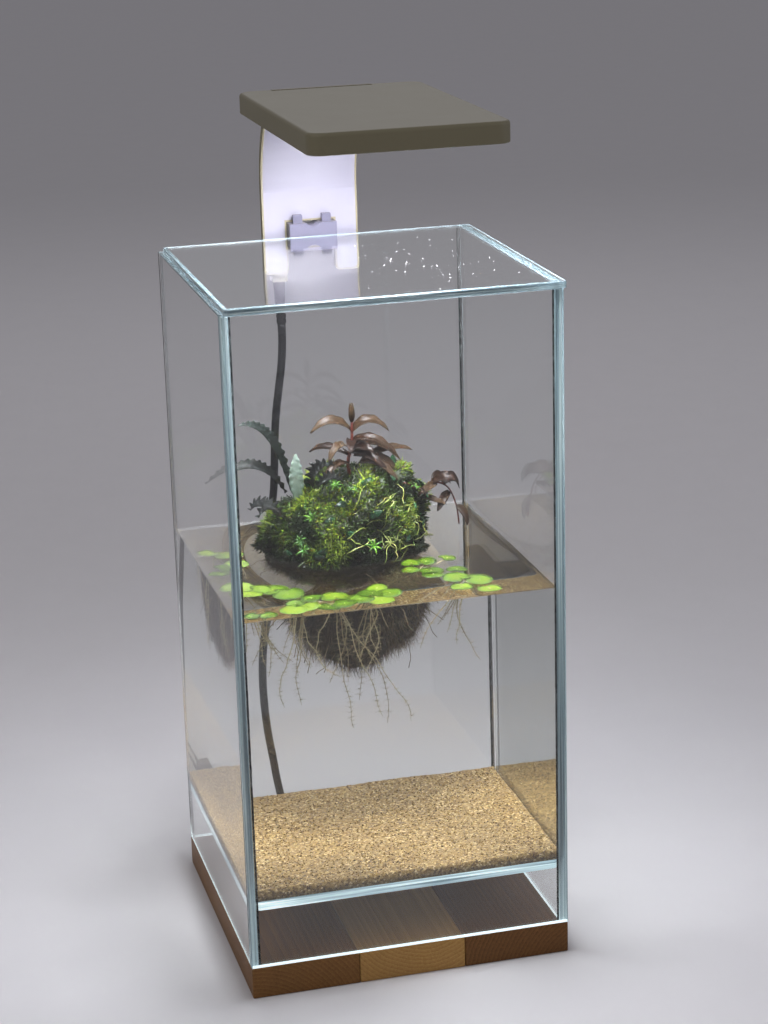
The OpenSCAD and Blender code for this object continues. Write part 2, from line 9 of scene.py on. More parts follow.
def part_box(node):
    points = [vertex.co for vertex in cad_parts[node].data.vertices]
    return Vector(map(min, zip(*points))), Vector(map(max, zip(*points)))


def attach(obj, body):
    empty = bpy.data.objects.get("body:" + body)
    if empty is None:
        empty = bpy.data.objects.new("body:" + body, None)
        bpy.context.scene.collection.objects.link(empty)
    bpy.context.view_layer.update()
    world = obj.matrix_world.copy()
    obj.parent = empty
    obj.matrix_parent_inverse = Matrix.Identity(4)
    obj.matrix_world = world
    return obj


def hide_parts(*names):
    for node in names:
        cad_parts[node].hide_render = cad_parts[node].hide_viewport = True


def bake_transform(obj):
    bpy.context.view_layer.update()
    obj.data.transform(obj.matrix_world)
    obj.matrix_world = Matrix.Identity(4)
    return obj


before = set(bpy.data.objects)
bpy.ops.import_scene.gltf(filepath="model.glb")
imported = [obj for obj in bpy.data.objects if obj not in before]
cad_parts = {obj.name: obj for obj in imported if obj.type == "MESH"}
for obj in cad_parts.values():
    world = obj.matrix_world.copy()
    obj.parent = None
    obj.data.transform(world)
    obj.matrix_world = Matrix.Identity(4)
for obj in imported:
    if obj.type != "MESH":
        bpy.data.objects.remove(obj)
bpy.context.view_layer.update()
rng = np.random.default_rng(11)
MM = 0.001


# ---------- places read from the frame ----------

def low(node):
    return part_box(node)[0]


def high(node):
    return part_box(node)[1]


def middle(node):
    return (low(node) + high(node)) / 2


wall_x = low("glass_right").x                  # inner face of a side panel
wall_y = low("glass_back").y                   # inner face of the back panel
rim_z = high("glass_front").z
water_z = high("water").z
sand_low = low("sand_bed").z
sand_top = high("sand_bed").z
island_mid = Vector((middle("island_moss").x, middle("island_moss").y, water_z))
island_r = (high("island_moss").x - low("island_moss").x) / 2
island_up = high("island_moss").z - water_z
island_down = water_z - low("island_roots").z


# ---------- shapes ----------

class Shape:
    """Points and faces of a piece being built. paint picks the material, tone shades a part."""

    def __init__(self):
        self.points = []
        self.faces = []
        self.paints = []
        self.tones = []

    def add(self, points, faces, paint=0, tone=0.5):
        start = len(self.points)
        self.points.extend(map(tuple, points))
        self.faces.extend(tuple(start + i for i in face) for face in faces)
        self.paints.extend([paint] * len(faces))
        self.tones.extend([tone] * len(points))

    def add_many(self, points, faces, tones, paint=0):
        """The same small solid many times: points is (count, corners, 3), and tones has one number each."""
        count, corners = points.shape[:2]
        start = len(self.points) + corners * np.arange(count)[:, None, None]
        placed = (np.array(faces)[None] + start).reshape(count * len(faces), -1)
        self.points.extend(map(tuple, points.reshape(-1, 3)))
        self.faces.extend(map(tuple, placed))
        self.paints.extend([paint] * len(placed))
        self.tones.extend(np.repeat(tones, corners))

    def loft(self, loops, paint=0, tone=0.5):
        """A closed solid through loops that have the same number of points."""
        n = len(loops[0])
        points = [p for loop in loops for p in loop]
        walls = [(k * n + j, k * n + (j + 1) % n, (k + 1) * n + (j + 1) % n, (k + 1) * n + j)
                 for k in range(len(loops) - 1) for j in range(n)]
        last = (len(loops) - 1) * n
        ends = [tuple(range(n - 1, -1, -1)), tuple(last + j for j in range(n))]
        self.add(points, walls + ends, paint, tone)

    def tube(self, path, radius, sides=8, paint=0, tone=0.5):
        """A round tube along a path; radius is one number or one for each point."""
        path = [Vector(p) for p in path]
        radii = [float(r) for r in radius] if hasattr(radius, "__len__") else [radius] * len(path)
        ahead = (path[1] - path[0]).normalized()
        u = ahead.orthogonal().normalized()
        loops = []
        for i, p in enumerate(path):
            new = (path[min(i + 1, len(path) - 1)] - path[max(i - 1, 0)]).normalized()
            u = (ahead.rotation_difference(new) @ u).normalized()
            ahead = new
            v = ahead.cross(u)
            angles = [2 * math.pi * j / sides for j in range(sides)]
            loops.append([p + radii[i] * (math.cos(a) * u + math.sin(a) * v) for a in angles])
        self.loft(loops, paint, tone)

    def build(self, name, paints, body=None, replaces=(), smooth=True):
        mesh = bpy.data.meshes.new(name)
        mesh.from_pydata(self.points, [], self.faces)
        mesh.polygons.foreach_set("material_index", self.paints)
        mesh.polygons.foreach_set("use_smooth", [smooth] * len(self.faces))
        tone = mesh.attributes.new("tone", "FLOAT", "POINT")
        tone.data.foreach_set("value", np.array(self.tones, np.float32))
        mesh.update()
        piece = bpy.data.objects.new(name, mesh)
        bpy.context.scene.collection.objects.link(piece)
        for paint in paints:
            mesh.materials.append(paint.material)
        if body:
            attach(piece, body)
        if replaces:
            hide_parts(*replaces)
        return piece


def crease(piece, degrees=35):
    """Smooth faces, with sharp edges where two faces meet at more than this angle."""
    piece.data.set_sharp_from_angle(angle=math.radians(degrees))


def smooth_path(points, step):
    """A smooth curve through points, resampled about every step."""
    points = [Vector(p) for p in points]
    padded = [2 * points[0] - points[1], *points, 2 * points[-1] - points[-2]]
    dense = []
    for a, b, c, d in zip(padded, padded[1:], padded[2:], padded[3:]):
        count = max(1, round((c - b).length / step))
        for k in range(count):
            t = k / count
            dense.append(0.5 * (2 * b + (c - a) * t + (2 * a - 5 * b + 4 * c - d) * t * t
                                + (3 * b - a - 3 * c + d) * t ** 3))
    return [*dense, points[-1]]


def bezier(a, b, c, count):
    a, b, c = Vector(a), Vector(b), Vector(c)
    shares = [k / (count - 1) for k in range(count)]
    return [(1 - t) ** 2 * a + 2 * (1 - t) * t * b + t * t * c for t in shares]


def round_rect(width, depth, radius, steps=6):
    """Outline of a rectangle with round corners, as (x, y) points round the middle."""
    outline = []
    for k, (sx, sy) in enumerate([(1, 1), (-1, 1), (-1, -1), (1, -1)]):
        for a in np.linspace(k * math.pi / 2, (k + 1) * math.pi / 2, steps + 1):
            outline.append((sx * (width / 2 - radius) + radius * math.cos(a),
                            sy * (depth / 2 - radius) + radius * math.sin(a)))
    return outline


def slab_loops(size, radius, bevel, middle_point, thin="z", rounds=3):
    """Loops of a slab with round corners and rounded edges. thin is the axis across the slab."""
    axes = {"x": (1, 2, 0), "y": (2, 0, 1), "z": (0, 1, 2)}[thin]
    width, depth, height = (size[i] for i in axes)
    angles = np.linspace(0, math.pi / 2, rounds + 1)
    levels = [(2 * bevel, -height / 2)]
    levels += [(bevel * (1 - math.sin(a)), -height / 2 + bevel * (1 - math.cos(a))) for a in angles]
    levels += [(inset, -z) for inset, z in reversed(levels)]
    loops = []
    for inset, z in levels:
        outline = round_rect(width - 2 * inset, depth - 2 * inset, max(radius - inset, 0.1 * MM))
        loop = []
        for x, y in outline:
            p = Vector((0, 0, 0))
            p[axes[0]], p[axes[1]], p[axes[2]] = x, y, z
            loop.append(p + Vector(middle_point))
        loops.append(loop)
    return loops


# ---------- materials ----------

class Paint:
    """A node material, with short ways to add the nodes used here. Places are in the frame's own metres."""

    def __init__(self, name, color=(0.8, 0.8, 0.8), roughness=0.5, **sockets):
        self.material = bpy.data.materials.new(name)
        self.material.use_nodes = True
        self.nodes = self.material.node_tree.nodes
        self.surface = self.nodes["Principled BSDF"]
        self.set("Base Color", color)
        self.set("Roughness", roughness)
        for socket, value in sockets.items():
            self.set(socket.replace("_", " "), value)

    def feed(self, target, value):
        """Link a socket to another node's output, or set it."""
        if isinstance(value, bpy.types.NodeSocket):
            self.material.node_tree.links.new(value, target)
        elif hasattr(value, "__len__") and len(value) == 3 and len(target.default_value) == 4:
            target.default_value = (*value, 1)
        else:
            target.default_value = value

    def set(self, socket, value):
        self.feed(self.surface.inputs[socket], value)

    def node(self, kind, inputs=None, **settings):
        """A node with its settings, and its inputs by name or number."""
        made = self.nodes.new("ShaderNode" + kind)
        for key, value in settings.items():
            setattr(made, key, value)
        for socket, value in (inputs or {}).items():
            self.feed(made.inputs[socket], value)
        return made

    def place(self, scale=(1, 1, 1), offset=(0, 0, 0)):
        where = self.node("TexCoord").outputs["Object"]
        return self.node("Mapping", {"Vector": where, "Scale": scale, "Location": offset}).outputs["Vector"]

    def noise(self, scale, detail=3, stretch=(1, 1, 1), distortion=0.0):
        inputs = {"Vector": self.place(stretch), "Scale": scale, "Detail": detail, "Distortion": distortion}
        return self.node("TexNoise", inputs).outputs["Fac"]

    def rings(self, period, distortion, offset, stretch):
        inputs = {"Vector": self.place(stretch, offset), "Scale": 2 * math.pi / (20 * period),
                  "Distortion": distortion, "Detail": 3, "Detail Scale": 0.6}
        made = self.node("TexWave", inputs, wave_type="RINGS", rings_direction="Y", wave_profile="SAW")
        return made.outputs["Fac"]

    def tone(self):
        return self.node("Attribute", attribute_name="tone").outputs["Fac"]

    def ramp(self, factor, *stops):
        made = self.node("ValToRGB", {"Fac": factor})
        band = made.color_ramp
        while len(band.elements) < len(stops):
            band.elements.new(0.5)
        for element, (place, color) in zip(band.elements, stops):
            element.position = place
            element.color = (*color, 1) if hasattr(color, "__len__") else (color, color, color, 1)
        return made.outputs["Color"]

    def mix(self, factor, a, b, blend="MIX"):
        return self.node("Mix", {0: factor, 6: a, 7: b}, data_type="RGBA", blend_type=blend).outputs[2]

    def math(self, operation, a, b):
        return self.node("Math", {0: a, 1: b}, operation=operation).outputs[0]

    def bump(self, height, distance):
        made = self.node("Bump", {"Height": height, "Strength": 1.0, "Distance": distance})
        self.set("Normal", made.outputs["Normal"])

    def let_lamps_through(self, tint):
        """Light from lamps reaches what is behind this glass."""
        shadow = self.node("LightPath").outputs["Is Shadow Ray"]
        clear = self.node("BsdfTransparent", {"Color": tint})
        mixer = self.node("MixShader", {0: shadow, 1: self.surface.outputs[0], 2: clear.outputs[0]})
        self.feed(self.nodes["Material Output"].inputs["Surface"], mixer.outputs[0])


def clear_paint(name, tint, ior, lamp_tint, **sockets):
    """Glass, silicone or water. lamp_tint colours a lamp's light that crosses it."""
    paint = Paint(name, tint, 0.0, IOR=ior, Transmission_Weight=1.0, **sockets)
    paint.let_lamps_through(lamp_tint)
    return paint


def edge_paint(name, stretch, glow):
    """Ground glass edge with fine lines along it where light runs, and a painted glow of that light: the
    edge emits its own colour, stronger at some heights. glow has (height, share) stops.
    """
    paint = Paint(name, roughness=0.25, IOR=1.5, Transmission_Weight=0.3)
    lines = paint.noise(1, 2, stretch, 0.3)
    color = paint.ramp(lines, (0.32, (0.08, 0.13, 0.15)), (0.46, (0.21, 0.29, 0.33)),
                       (0.58, (0.34, 0.44, 0.46)), (0.74, (0.76, 0.85, 0.86)))
    paint.set("Base Color", color)
    place = paint.node("SeparateXYZ", {0: paint.place()})
    height = paint.math("DIVIDE", place.outputs["Z"], rim_z)
    # Painted glow: emission by height stands in for light carried inside the glass.
    lit = paint.ramp(height, *((z / rim_z, share) for z, share in glow))
    paint.set("Emission Color", paint.mix(1.0, color, lit, "MULTIPLY"))
    paint.set("Emission Strength", 1.0)
    paint.bump(paint.noise(900, 2), 0.02 * MM)
    return paint


def thousandths(*shades):
    return [tuple(part / 1000 for part in shade) for shade in shades]


def wood_paint(name, pale, dark, pith):
    """Oiled hardwood whose fibres run front to back. pith is where the growth rings centre, in x and z."""
    pale, dark = thousandths(pale, dark)
    paint = Paint(name, roughness=0.5, Specular_IOR_Level=0.15)
    rings = paint.rings(2.6 * MM, 3.0, (-pith[0], 0, -pith[1]), (1, 0.06, 1))
    fibres = paint.noise(1, 4, (900, 14, 900), 0.6)
    flecks = paint.noise(1, 2, (2600, 60, 1500))
    cloud = paint.noise(16, 3, (1, 0.4, 1))
    color = paint.mix(paint.ramp(rings, (0.0, 0.0), (0.75, 0.75), (1.0, 1.0)), pale, dark)
    color = paint.mix(0.55, color, paint.ramp(fibres, (0.25, dark), (0.75, pale)))
    color = paint.mix(0.5, color, paint.ramp(cloud, (0.3, dark), (0.7, pale)), "SOFT_LIGHT")
    deep = tuple(0.45 * c for c in dark)
    color = paint.mix(paint.ramp(flecks, (0.62, 0.0), (0.74, 0.75)), color, deep)
    paint.set("Base Color", color)
    paint.set("Roughness", paint.ramp(fibres, (0.2, 0.36), (0.8, 0.55)))
    paint.bump(paint.mix(0.3, fibres, flecks), 0.12 * MM)
    return paint


def sand_paint():
    """Coarse golden sand, each grain with its own shade, with pale and dark grains among them."""
    paint = Paint("sand_grains", roughness=0.75)
    cells = paint.node("TexVoronoi", {"Vector": paint.place(), "Scale": 900})
    grain = paint.node("SeparateColor", {0: cells.outputs["Color"]})
    color = paint.ramp(grain.outputs[0], (0.0, (0.07, 0.036, 0.010)), (0.12, (0.19, 0.105, 0.028)),
                       (0.5, (0.36, 0.222, 0.062)), (0.85, (0.55, 0.365, 0.12)), (1.0, (1.0, 0.82, 0.46)))
    color = paint.mix(paint.ramp(paint.noise(30, 3), (0.35, 0.0), (0.7, 0.4)), color, (0.29, 0.175, 0.055))
    paint.set("Base Color", paint.mix(paint.tone(), (0.13, 0.075, 0.03), color))
    paint.set("Roughness", paint.ramp(grain.outputs[1], (0.0, 0.35), (1.0, 0.9)))
    paint.bump(paint.noise(1500, 2), 0.1 * MM)
    return paint


def leaf_paint(name, dark, mid, pale, roughness=0.35, soft=0.12, grain=400, **sockets):
    """Living leaf or moss: its tone attribute picks the shade, in thousandths, and noise mottles it."""
    dark, mid, pale = thousandths(dark, mid, pale)
    paint = Paint(name, roughness=roughness, Subsurface_Weight=soft, Subsurface_Scale=1.2 * MM, **sockets)
    shade = paint.math("ADD", paint.tone(), paint.math("MULTIPLY", paint.noise(grain, 3), 0.35))
    paint.set("Base Color", paint.ramp(shade, (0.18, dark), (0.62, mid), (1.1, pale)))
    gloss = paint.noise(grain * 0.6, 2)
    paint.set("Roughness", paint.ramp(gloss, (0.3, roughness * 0.6), (0.8, roughness * 1.5)))
    paint.bump(paint.noise(grain * 3, 2), 0.12 * MM)
    return paint


def coat_paint(name, color, roughness, grain=2600, depth=0.03, cloud=0.06, **sockets):
    """A fine-textured coat or moulded plastic, with faint cloudiness and a grain."""
    paint = Paint(name, roughness=roughness, **sockets)
    darker, lighter = (tuple(min(1, share * c) for c in color) for share in (1 - cloud, 1 + cloud))
    paint.set("Base Color", paint.ramp(paint.noise(24, 4), (0.3, darker), (0.7, lighter)))
    paint.set("Roughness", paint.ramp(paint.noise(60, 3), (0.3, roughness * (1 - 2 * cloud)),
                                      (0.7, min(1, roughness * (1 + 2 * cloud)))))
    paint.bump(paint.noise(grain, 2), depth * MM)
    return paint


def metal_paint(name, color, roughness):
    paint = Paint(name, color, roughness, Metallic=1.0)
    brushed = paint.noise(900, 3, (1, 1, 0.2))
    paint.set("Roughness", paint.ramp(brushed, (0.3, roughness * 0.7), (0.7, roughness * 1.4)))
    return paint


def glow_paint(name, color, strength):
    paint = Paint(name, color, 0.35)
    softer = tuple(0.93 * c for c in color)
    paint.set("Emission Color", paint.ramp(paint.noise(45, 2), (0.3, softer), (0.7, color)))
    paint.set("Emission Strength", strength)
    return paint


GLASS_TINT = (0.985, 0.996, 0.993)
polished = clear_paint("glass_polished", GLASS_TINT, 1.5, GLASS_TINT, Specular_IOR_Level=0.08)
polished.set("Roughness", polished.ramp(polished.noise(38, 4), (0.45, 0.0), (0.75, 0.015)))
silicone = clear_paint("silicone_clear", (0.88, 0.93, 0.94), 1.42, (0.95, 0.98, 0.98))
silicone.set("Roughness", silicone.ramp(silicone.noise(260, 3), (0.3, 0.08), (0.8, 0.3)))
water_look = clear_paint("water_still", (0.975, 0.985, 0.97), 1.333, (0.98, 0.985, 0.975))
water_look.bump(water_look.noise(7, 2, (1, 1, 0.1)), 0.06 * MM)

foot_z = low("glass_front").z
# Painted glow of the ground edges: how strongly the panel, lid and raised-floor edges emit at each height.
PANEL_GLOW = ((foot_z, 0.3), (foot_z + 2.5 * MM, 0.08), (sand_low, 0.1), (0.3, 0.2))
ground = edge_paint("panel_edge", (650, 650, 5), PANEL_GLOW)
lid_edge = edge_paint("lid_edge", (14, 14, 900), ((0.0, 0.08), (rim_z, 0.08)))
floor_edge = edge_paint("floor_edge", (14, 14, 500), ((0.0, 1.3), (rim_z, 1.3)))
# Painted glow: the underside of each upright panel emits a pale light, for the bright line of light along
# its foot.
foot_edge = glow_paint("foot_edge_lit", (0.80, 0.92, 0.95), 0.75)

sand_look = sand_paint()
wood_left = wood_paint("wood_mid", (300, 170, 64), (150, 78, 27), (-0.10, -0.03))
wood_middle = wood_paint("wood_light", (470, 310, 130), (270, 160, 58), (0.01, 0.05))
wood_right = wood_paint("wood_deep", (240, 130, 48), (110, 53, 18), (0.12, -0.02))

moss_dark = leaf_paint("moss_mat", (6, 10, 3), (20, 35, 8), (60, 90, 20), 0.6, 0.0)
moss_green = leaf_paint("moss_fronds", (4, 10, 2), (50, 95, 10), (270, 360, 35), 0.26, 0.06)
runner_look = leaf_paint("moss_runners", (100, 120, 20), (260, 310, 60), (500, 520, 180))
bright_leaf = leaf_paint("stem_leaves", (12, 40, 6), (50, 140, 10), (170, 330, 30), 0.25, 0.05)
deep_leaf = leaf_paint("broad_leaves", (4, 14, 6), (12, 45, 18), (40, 120, 45), 0.14, 0.02)
root_mat = leaf_paint("root_mat", (4, 4, 2), (14, 13, 6), (60, 55, 22), 0.5, 0.0)
root_hair = leaf_paint("root_hair", (16, 14, 6), (70, 58, 28), (240, 200, 110), 0.5)
red_leaf = leaf_paint("red_leaves", (6, 3, 2), (18, 8, 4), (50, 31, 16), 0.2, 0.03, Specular_IOR_Level=0.4)
red_stem = leaf_paint("red_stem", (40, 8, 6), (100, 18, 12), (170, 45, 30), 0.3, 0.05)
dark_leaf = leaf_paint("ruffled_leaves", (3, 4, 3.5), (13, 18, 15), (80, 105, 90), 0.2, 0.02)
silver_leaf = leaf_paint("silver_leaf", (50, 75, 60), (170, 230, 190), (420, 500, 440), 0.2, 0.05)
pad_look = leaf_paint("frogbit_pads", (18, 45, 3), (72, 135, 7), (160, 230, 16), 0.18, 0.05, 260)
pad_root = leaf_paint("frogbit_roots", (160, 135, 60), (340, 290, 160), (580, 520, 320), 0.5)

lamp_coat = coat_paint("lamp_champagne", (0.17, 0.150, 0.09), 0.5, cloud=0.008)
bezel_look = coat_paint("lamp_bezel_grey", (0.62, 0.62, 0.65), 0.45)
# Painted shade: the bracket face's white plastic is given a dark grey, holding back the strong lamp light
# close above it.
band_white_shaded = coat_paint("bracket_satin_white_shaded", (0.20, 0.195, 0.235), 0.4, cloud=0.02)
board_look = coat_paint("board_white", (0.85, 0.85, 0.87), 0.4)
clip_look = coat_paint("clip_milky_plastic", (0.15, 0.147, 0.20), 0.15, IOR=1.3, Transmission_Weight=0.35)
steel = metal_paint("screw_steel", (0.60, 0.60, 0.62), 0.28)
pin_metal = metal_paint("pin_nickel", (0.72, 0.71, 0.69), 0.18)
flex_black = coat_paint("flex_black", (0.006, 0.006, 0.007), 0.3, 1200, 0.05, Specular_IOR_Level=0.25)
shell_black = coat_paint("adapter_black", (0.022, 0.022, 0.024), 0.5, 2000, 0.08)
diffuser_look = glow_paint("diffuser_lit", (0.90, 0.88, 1.0), 1.8)
chip_look = glow_paint("chips_lit", (1.0, 0.97, 0.92), 3.0)
cork_look = coat_paint("cork_float", (0.24, 0.16, 0.09), 0.85, 500, 0.6)
# Painted glow: the splashes emit a faint light of their own, so they read bright from every side.
drop_glow_look = glow_paint("dried_splashes_glow", (0.70, 0.72, 0.74), 0.1)


# ---------- camera, lights, floor ----------

CAMERA_PLACE = (-0.342, -1.3895, 0.7115)
CAMERA_YAW, CAMERA_PITCH, CAMERA_ROLL = 14.44, -17.26, -1.70
CAMERA_LENS = 85.3


def aim(yaw, pitch, roll):
    """Camera axes: yaw turns right of +Y, pitch looks up, and roll tilts the picture, in degrees."""
    yaw, pitch, roll = (math.radians(a) for a in (yaw, pitch, roll))
    ahead = Vector((math.sin(yaw) * math.cos(pitch), math.cos(yaw) * math.cos(pitch), math.sin(pitch)))
    right = Vector((math.cos(yaw), -math.sin(yaw), 0))
    up = right.cross(ahead)
    right, up = math.cos(roll) * right + math.sin(roll) * up, math.cos(roll) * up - math.sin(roll) * right
    return Matrix((right, up, -ahead)).transposed()


camera_data = bpy.data.cameras.new("camera")
camera_data.sensor_width = 36
camera_data.lens = CAMERA_LENS
camera = bpy.data.objects.new("camera", camera_data)
camera.matrix_world = Matrix.Translation(CAMERA_PLACE) @ aim(CAMERA_YAW, CAMERA_PITCH, CAMERA_ROLL).to_4x4()
bpy.context.scene.collection.objects.link(camera)
bpy.context.scene.camera = camera


def area_lamp(name, place, target, size, power, color):
    data = bpy.data.lights.new(name, "AREA")
    data.shape = "RECTANGLE"
    data.size, data.size_y = size
    data.energy = power
    data.color = color
    lamp = bpy.data.objects.new(name, data)
    lamp.location = place
    lamp.rotation_euler = (Vector(target) - Vector(place)).to_track_quat("-Z", "Y").to_euler()
    bpy.context.scene.collection.objects.link(lamp)
    return lamp


AIM_POINT = (0, 0, 0.25)
area_lamp("key_softbox", (-1.3, -0.9, 1.9), AIM_POINT, (1.2, 1.2), 8.5, (1.0, 0.98, 0.95))
area_lamp("fill_softbox", (1.7, -0.8, 1.1), AIM_POINT, (1.2, 1.2), 4.5, (0.94, 0.95, 1.0))
area_lamp("rim_softbox", (0.5, 1.7, 1.5), AIM_POINT, (1.4, 0.8), 5, (0.97, 0.96, 1.0))

light_x, light_y = middle("lamp_diffuser").x, middle("lamp_diffuser").y - 12 * MM
light_place = (light_x, light_y, low("lamp_diffuser").z - 2 * MM)
light_target = (light_x, light_y, 0)
tank_light = area_lamp("tank_light", light_place, light_target, (0.085, 0.11), 1.8, (0.95, 0.94, 1.0))
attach(tank_light, "lamp")

world = bpy.data.worlds.new("studio")
bpy.context.scene.world = world
world.use_nodes = True
world.node_tree.nodes["Background"].inputs["Color"].default_value = (0.80, 0.79, 0.84, 1)
world.node_tree.nodes["Background"].inputs["Strength"].default_value = 0.35
bpy.context.scene.view_settings.view_transform = "Standard"

FLOOR_HALF = 12.0
floor_shape = Shape()
floor_shape.add([(-FLOOR_HALF, -FLOOR_HALF, 0), (FLOOR_HALF, -FLOOR_HALF, 0),
                 (FLOOR_HALF, FLOOR_HALF, 0), (-FLOOR_HALF, FLOOR_HALF, 0)], [(0, 1, 2, 3)])
floor = floor_shape.build("floor", [coat_paint("floor_pale", (0.60, 0.585, 0.60), 0.8, 300, 0.0, 0.008)])


# ---------- cord ----------

CORD_D = 5.2 * MM
CORD_POINTS = [(-21.25, 110, 366), (-21.25, 110, 354), (-22.5, 110, 338), (-25, 110, 322),
               (-27.5, 110, 305), (-29, 110, 288), (-30, 110, 270), (-31.5, 110, 252),
               (-35, 110.5, 234), (-40, 111, 216), (-45.5, 111.5, 198), (-50.5, 112, 180),
               (-53.5, 112, 161), (-54.5, 112, 142), (-54, 112.5, 124), (-52.5, 113, 106),
               (-50, 113.5, 88), (-47.5, 114, 70), (-44, 114.5, 52), (-38.5, 114.5, 35),
               (-30, 114.5, 20), (-19.5, 114.5, 9), (-10, 114.5, 4), (0, 114.5, 2.6)]
TAIL_POINTS = [(0, 114.5, 13.4), (10, 114.5, 13.5), (20, 114.5, 13.8), (30, 114.5, 14)]
COIL_MIDDLE = (0, 146.2)
COIL_STEPS = [(0, 31.7, 2.6), (315, 31.7, 2.6), (360, 26.3, 2.6), (615, 26.3, 2.6), (660, 26.3, 8.0),
              (920, 26.3, 8.0), (965, 31.7, 8.0), (1230, 31.7, 8.0), (1270, 31.7, 13.4), (1440, 31.7, 13.4)]


def coil_points():
    """The coil from its front point round: (degrees travelled, turn radius, height) between named steps."""
    travelled = np.arange(15, 1440, 15)
    turns, radii, heights = zip(*COIL_STEPS)
    x, y = COIL_MIDDLE
    for a, r, z in zip(travelled, np.interp(travelled, turns, radii), np.interp(travelled, turns, heights)):
        yield (x + r * math.sin(math.radians(a)), y - r * math.cos(math.radians(a)), z)


def make_cord():
    route = [*CORD_POINTS, *coil_points(), *TAIL_POINTS]
    path = smooth_path([Vector(p) * MM for p in route], 3 * MM)
    shape = Shape()
    shape.tube(path, CORD_D / 2, 12)
    solids = ("lamp_cord", "cord_coil", "cord_tail")
    cord = shape.build("lamp_flex", [flex_black], replaces=solids)
    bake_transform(cord)
    plug = make_adapter()


def circle(center, radius, axis, count=24):
    axes = {"x": (1, 2), "y": (2, 0), "z": (0, 1)}[axis]
    loop = []
    for a in np.linspace(0, 2 * math.pi, count, endpoint=False):
        p = Vector(center)
        p[axes[0]] += radius * math.cos(a)
        p[axes[1]] += radius * math.sin(a)
        loop.append(p)
    return loop


def ribbed_boot(shape, start, end, low_r, high_r, axis):
    """A strain relief that tapers, with shallow grooves round it."""
    start, end = Vector(start), Vector(end)
    rings = 33
    loops = []
    for k in range(rings):
        t = k / (rings - 1)
        groove = 0.35 * MM if 0.1 < t < 0.85 and k % 4 == 0 else 0
        loops.append(circle(start.lerp(end, t), low_r + (high_r - low_r) * t - groove, axis))
    shape.loft(loops)


def make_adapter():
    a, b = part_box("adapter_body")
    center, size = (a + b) / 2, b - a
    shape = Shape()
    shape.loft(slab_loops(size, 5 * MM, 2 * MM, center, "y", 5))
    body = shape.build("adapter_case", [shell_black], "tank", ("adapter_body",))
    crease(body)
    a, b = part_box("adapter_boot")
    mid = (a + b) / 2
    shape = Shape()
    ribbed_boot(shape, (a.x, mid.y, mid.z), (b.x, mid.y, mid.z), 3.1 * MM, 4.8 * MM, "x")
    boot = shape.build("adapter_relief", [flex_black], "tank", ("adapter_boot",))
    crease(boot)
    a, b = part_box("adapter_pins")
    shape = Shape()
    for x in (a.x + 2 * MM, b.x - 2 * MM):
        z = (a.z + b.z) / 2
        sleeve = a.y + 0.5 * (b.y - a.y)
        shape.loft([circle((x, y, z), r, "y") for y, r in
                    ((a.y - 1 * MM, 1.9 * MM), (sleeve - 0.2 * MM, 1.9 * MM), (sleeve, 1.7 * MM))], 1)
        shape.loft([circle((x, y, z), r, "y") for y, r in
                    ((sleeve - 0.5 * MM, 1.75 * MM), (b.y - 1.6 * MM, 1.95 * MM),
                     (b.y - 0.8 * MM, 1.8 * MM), (b.y - 0.2 * MM, 1.2 * MM), (b.y, 0.5 * MM))])
    pins = shape.build("adapter_prongs", [pin_metal, shell_black], "tank", ("adapter_pins",))
    crease(pins)
    return [body, boot, pins]


make_cord()


# ---------- plinth ----------

GLUE_GAP = 0.08 * MM
STAVE_EDGE = 0.9 * MM


def make_plinth():
    looks = {"left": (wood_left, "wood_brown", -1), "middle": (wood_middle, "wood_pale", 0),
             "right": (wood_right, "wood_dark", 1)}
    for side, (look, slot, away) in looks.items():
        node = "plinth_stave_" + side
        a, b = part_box(node)
        size = b - a - Vector(((2 - abs(away)) * GLUE_GAP, 0, 0))
        center = (a + b) / 2
        center.x += away * GLUE_GAP / 2
        shape = Shape()
        shape.loft(slab_loops(size, STAVE_EDGE, STAVE_EDGE, center, "z", 3))
        stave = shape.build("wood_stave_" + side, [look], "tank", (node,))
        crease(stave, 40)


# ---------- glass ----------

PANEL_EDGE = 0.5 * MM
SEAM_FILM = 0.6 * MM         # the back corners are glued clear: their ends show no ground edge
FLAT = 0.999                 # a face whose normal reaches this far along an axis is flat to it


def make_panel(node, thin, name, body="tank", radius=PANEL_EDGE, rim=ground):
    a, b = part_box(node)
    shape = Shape()
    shape.loft(slab_loops(b - a, radius, PANEL_EDGE, (a + b) / 2, thin, 2))
    panel = shape.build(name, [polished, rim, foot_edge], body, (node,))
    across = "xyz".index(thin)
    upright = thin != "z"
    for face in panel.data.polygons:
        hidden = upright and face.center.y > wall_y - SEAM_FILM and abs(face.normal.z) < 0.5
        # faces that look down take the painted glow of the foot
        if upright and face.normal.z < -0.3:
            face.material_index = 2
        else:
            face.material_index = 0 if hidden or abs(face.normal[across]) > FLAT else 1
    crease(panel, 60)


def make_glass():
    for side, thin in (("front", "y"), ("back", "y"), ("left", "x"), ("right", "x")):
        make_panel("glass_" + side, thin, side + "_panel")
    make_raised_floor()
    make_panel("glass_lid", "z", "lid_panel", "lid", radius=3 * MM, rim=lid_edge)


def make_raised_floor():
    """The raised pane with its silicone, as one slab that reaches the walls and shows its ground edge."""
    a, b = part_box("glass_floor")
    size = Vector((2 * wall_x - 0.2 * MM, 2 * wall_y - 0.2 * MM, b.z - a.z))
    shape = Shape()
    shape.loft(slab_loops(size, 3 * MM, PANEL_EDGE, (a + b) / 2, "z", 2))
    solids = ("glass_floor", "floor_seal")
    pane = shape.build("raised_floor", [polished, floor_edge], "tank", solids)
    for face in pane.data.polygons:
        face.material_index = 0 if abs(face.normal.z) > FLAT else 1
    crease(pane, 60)


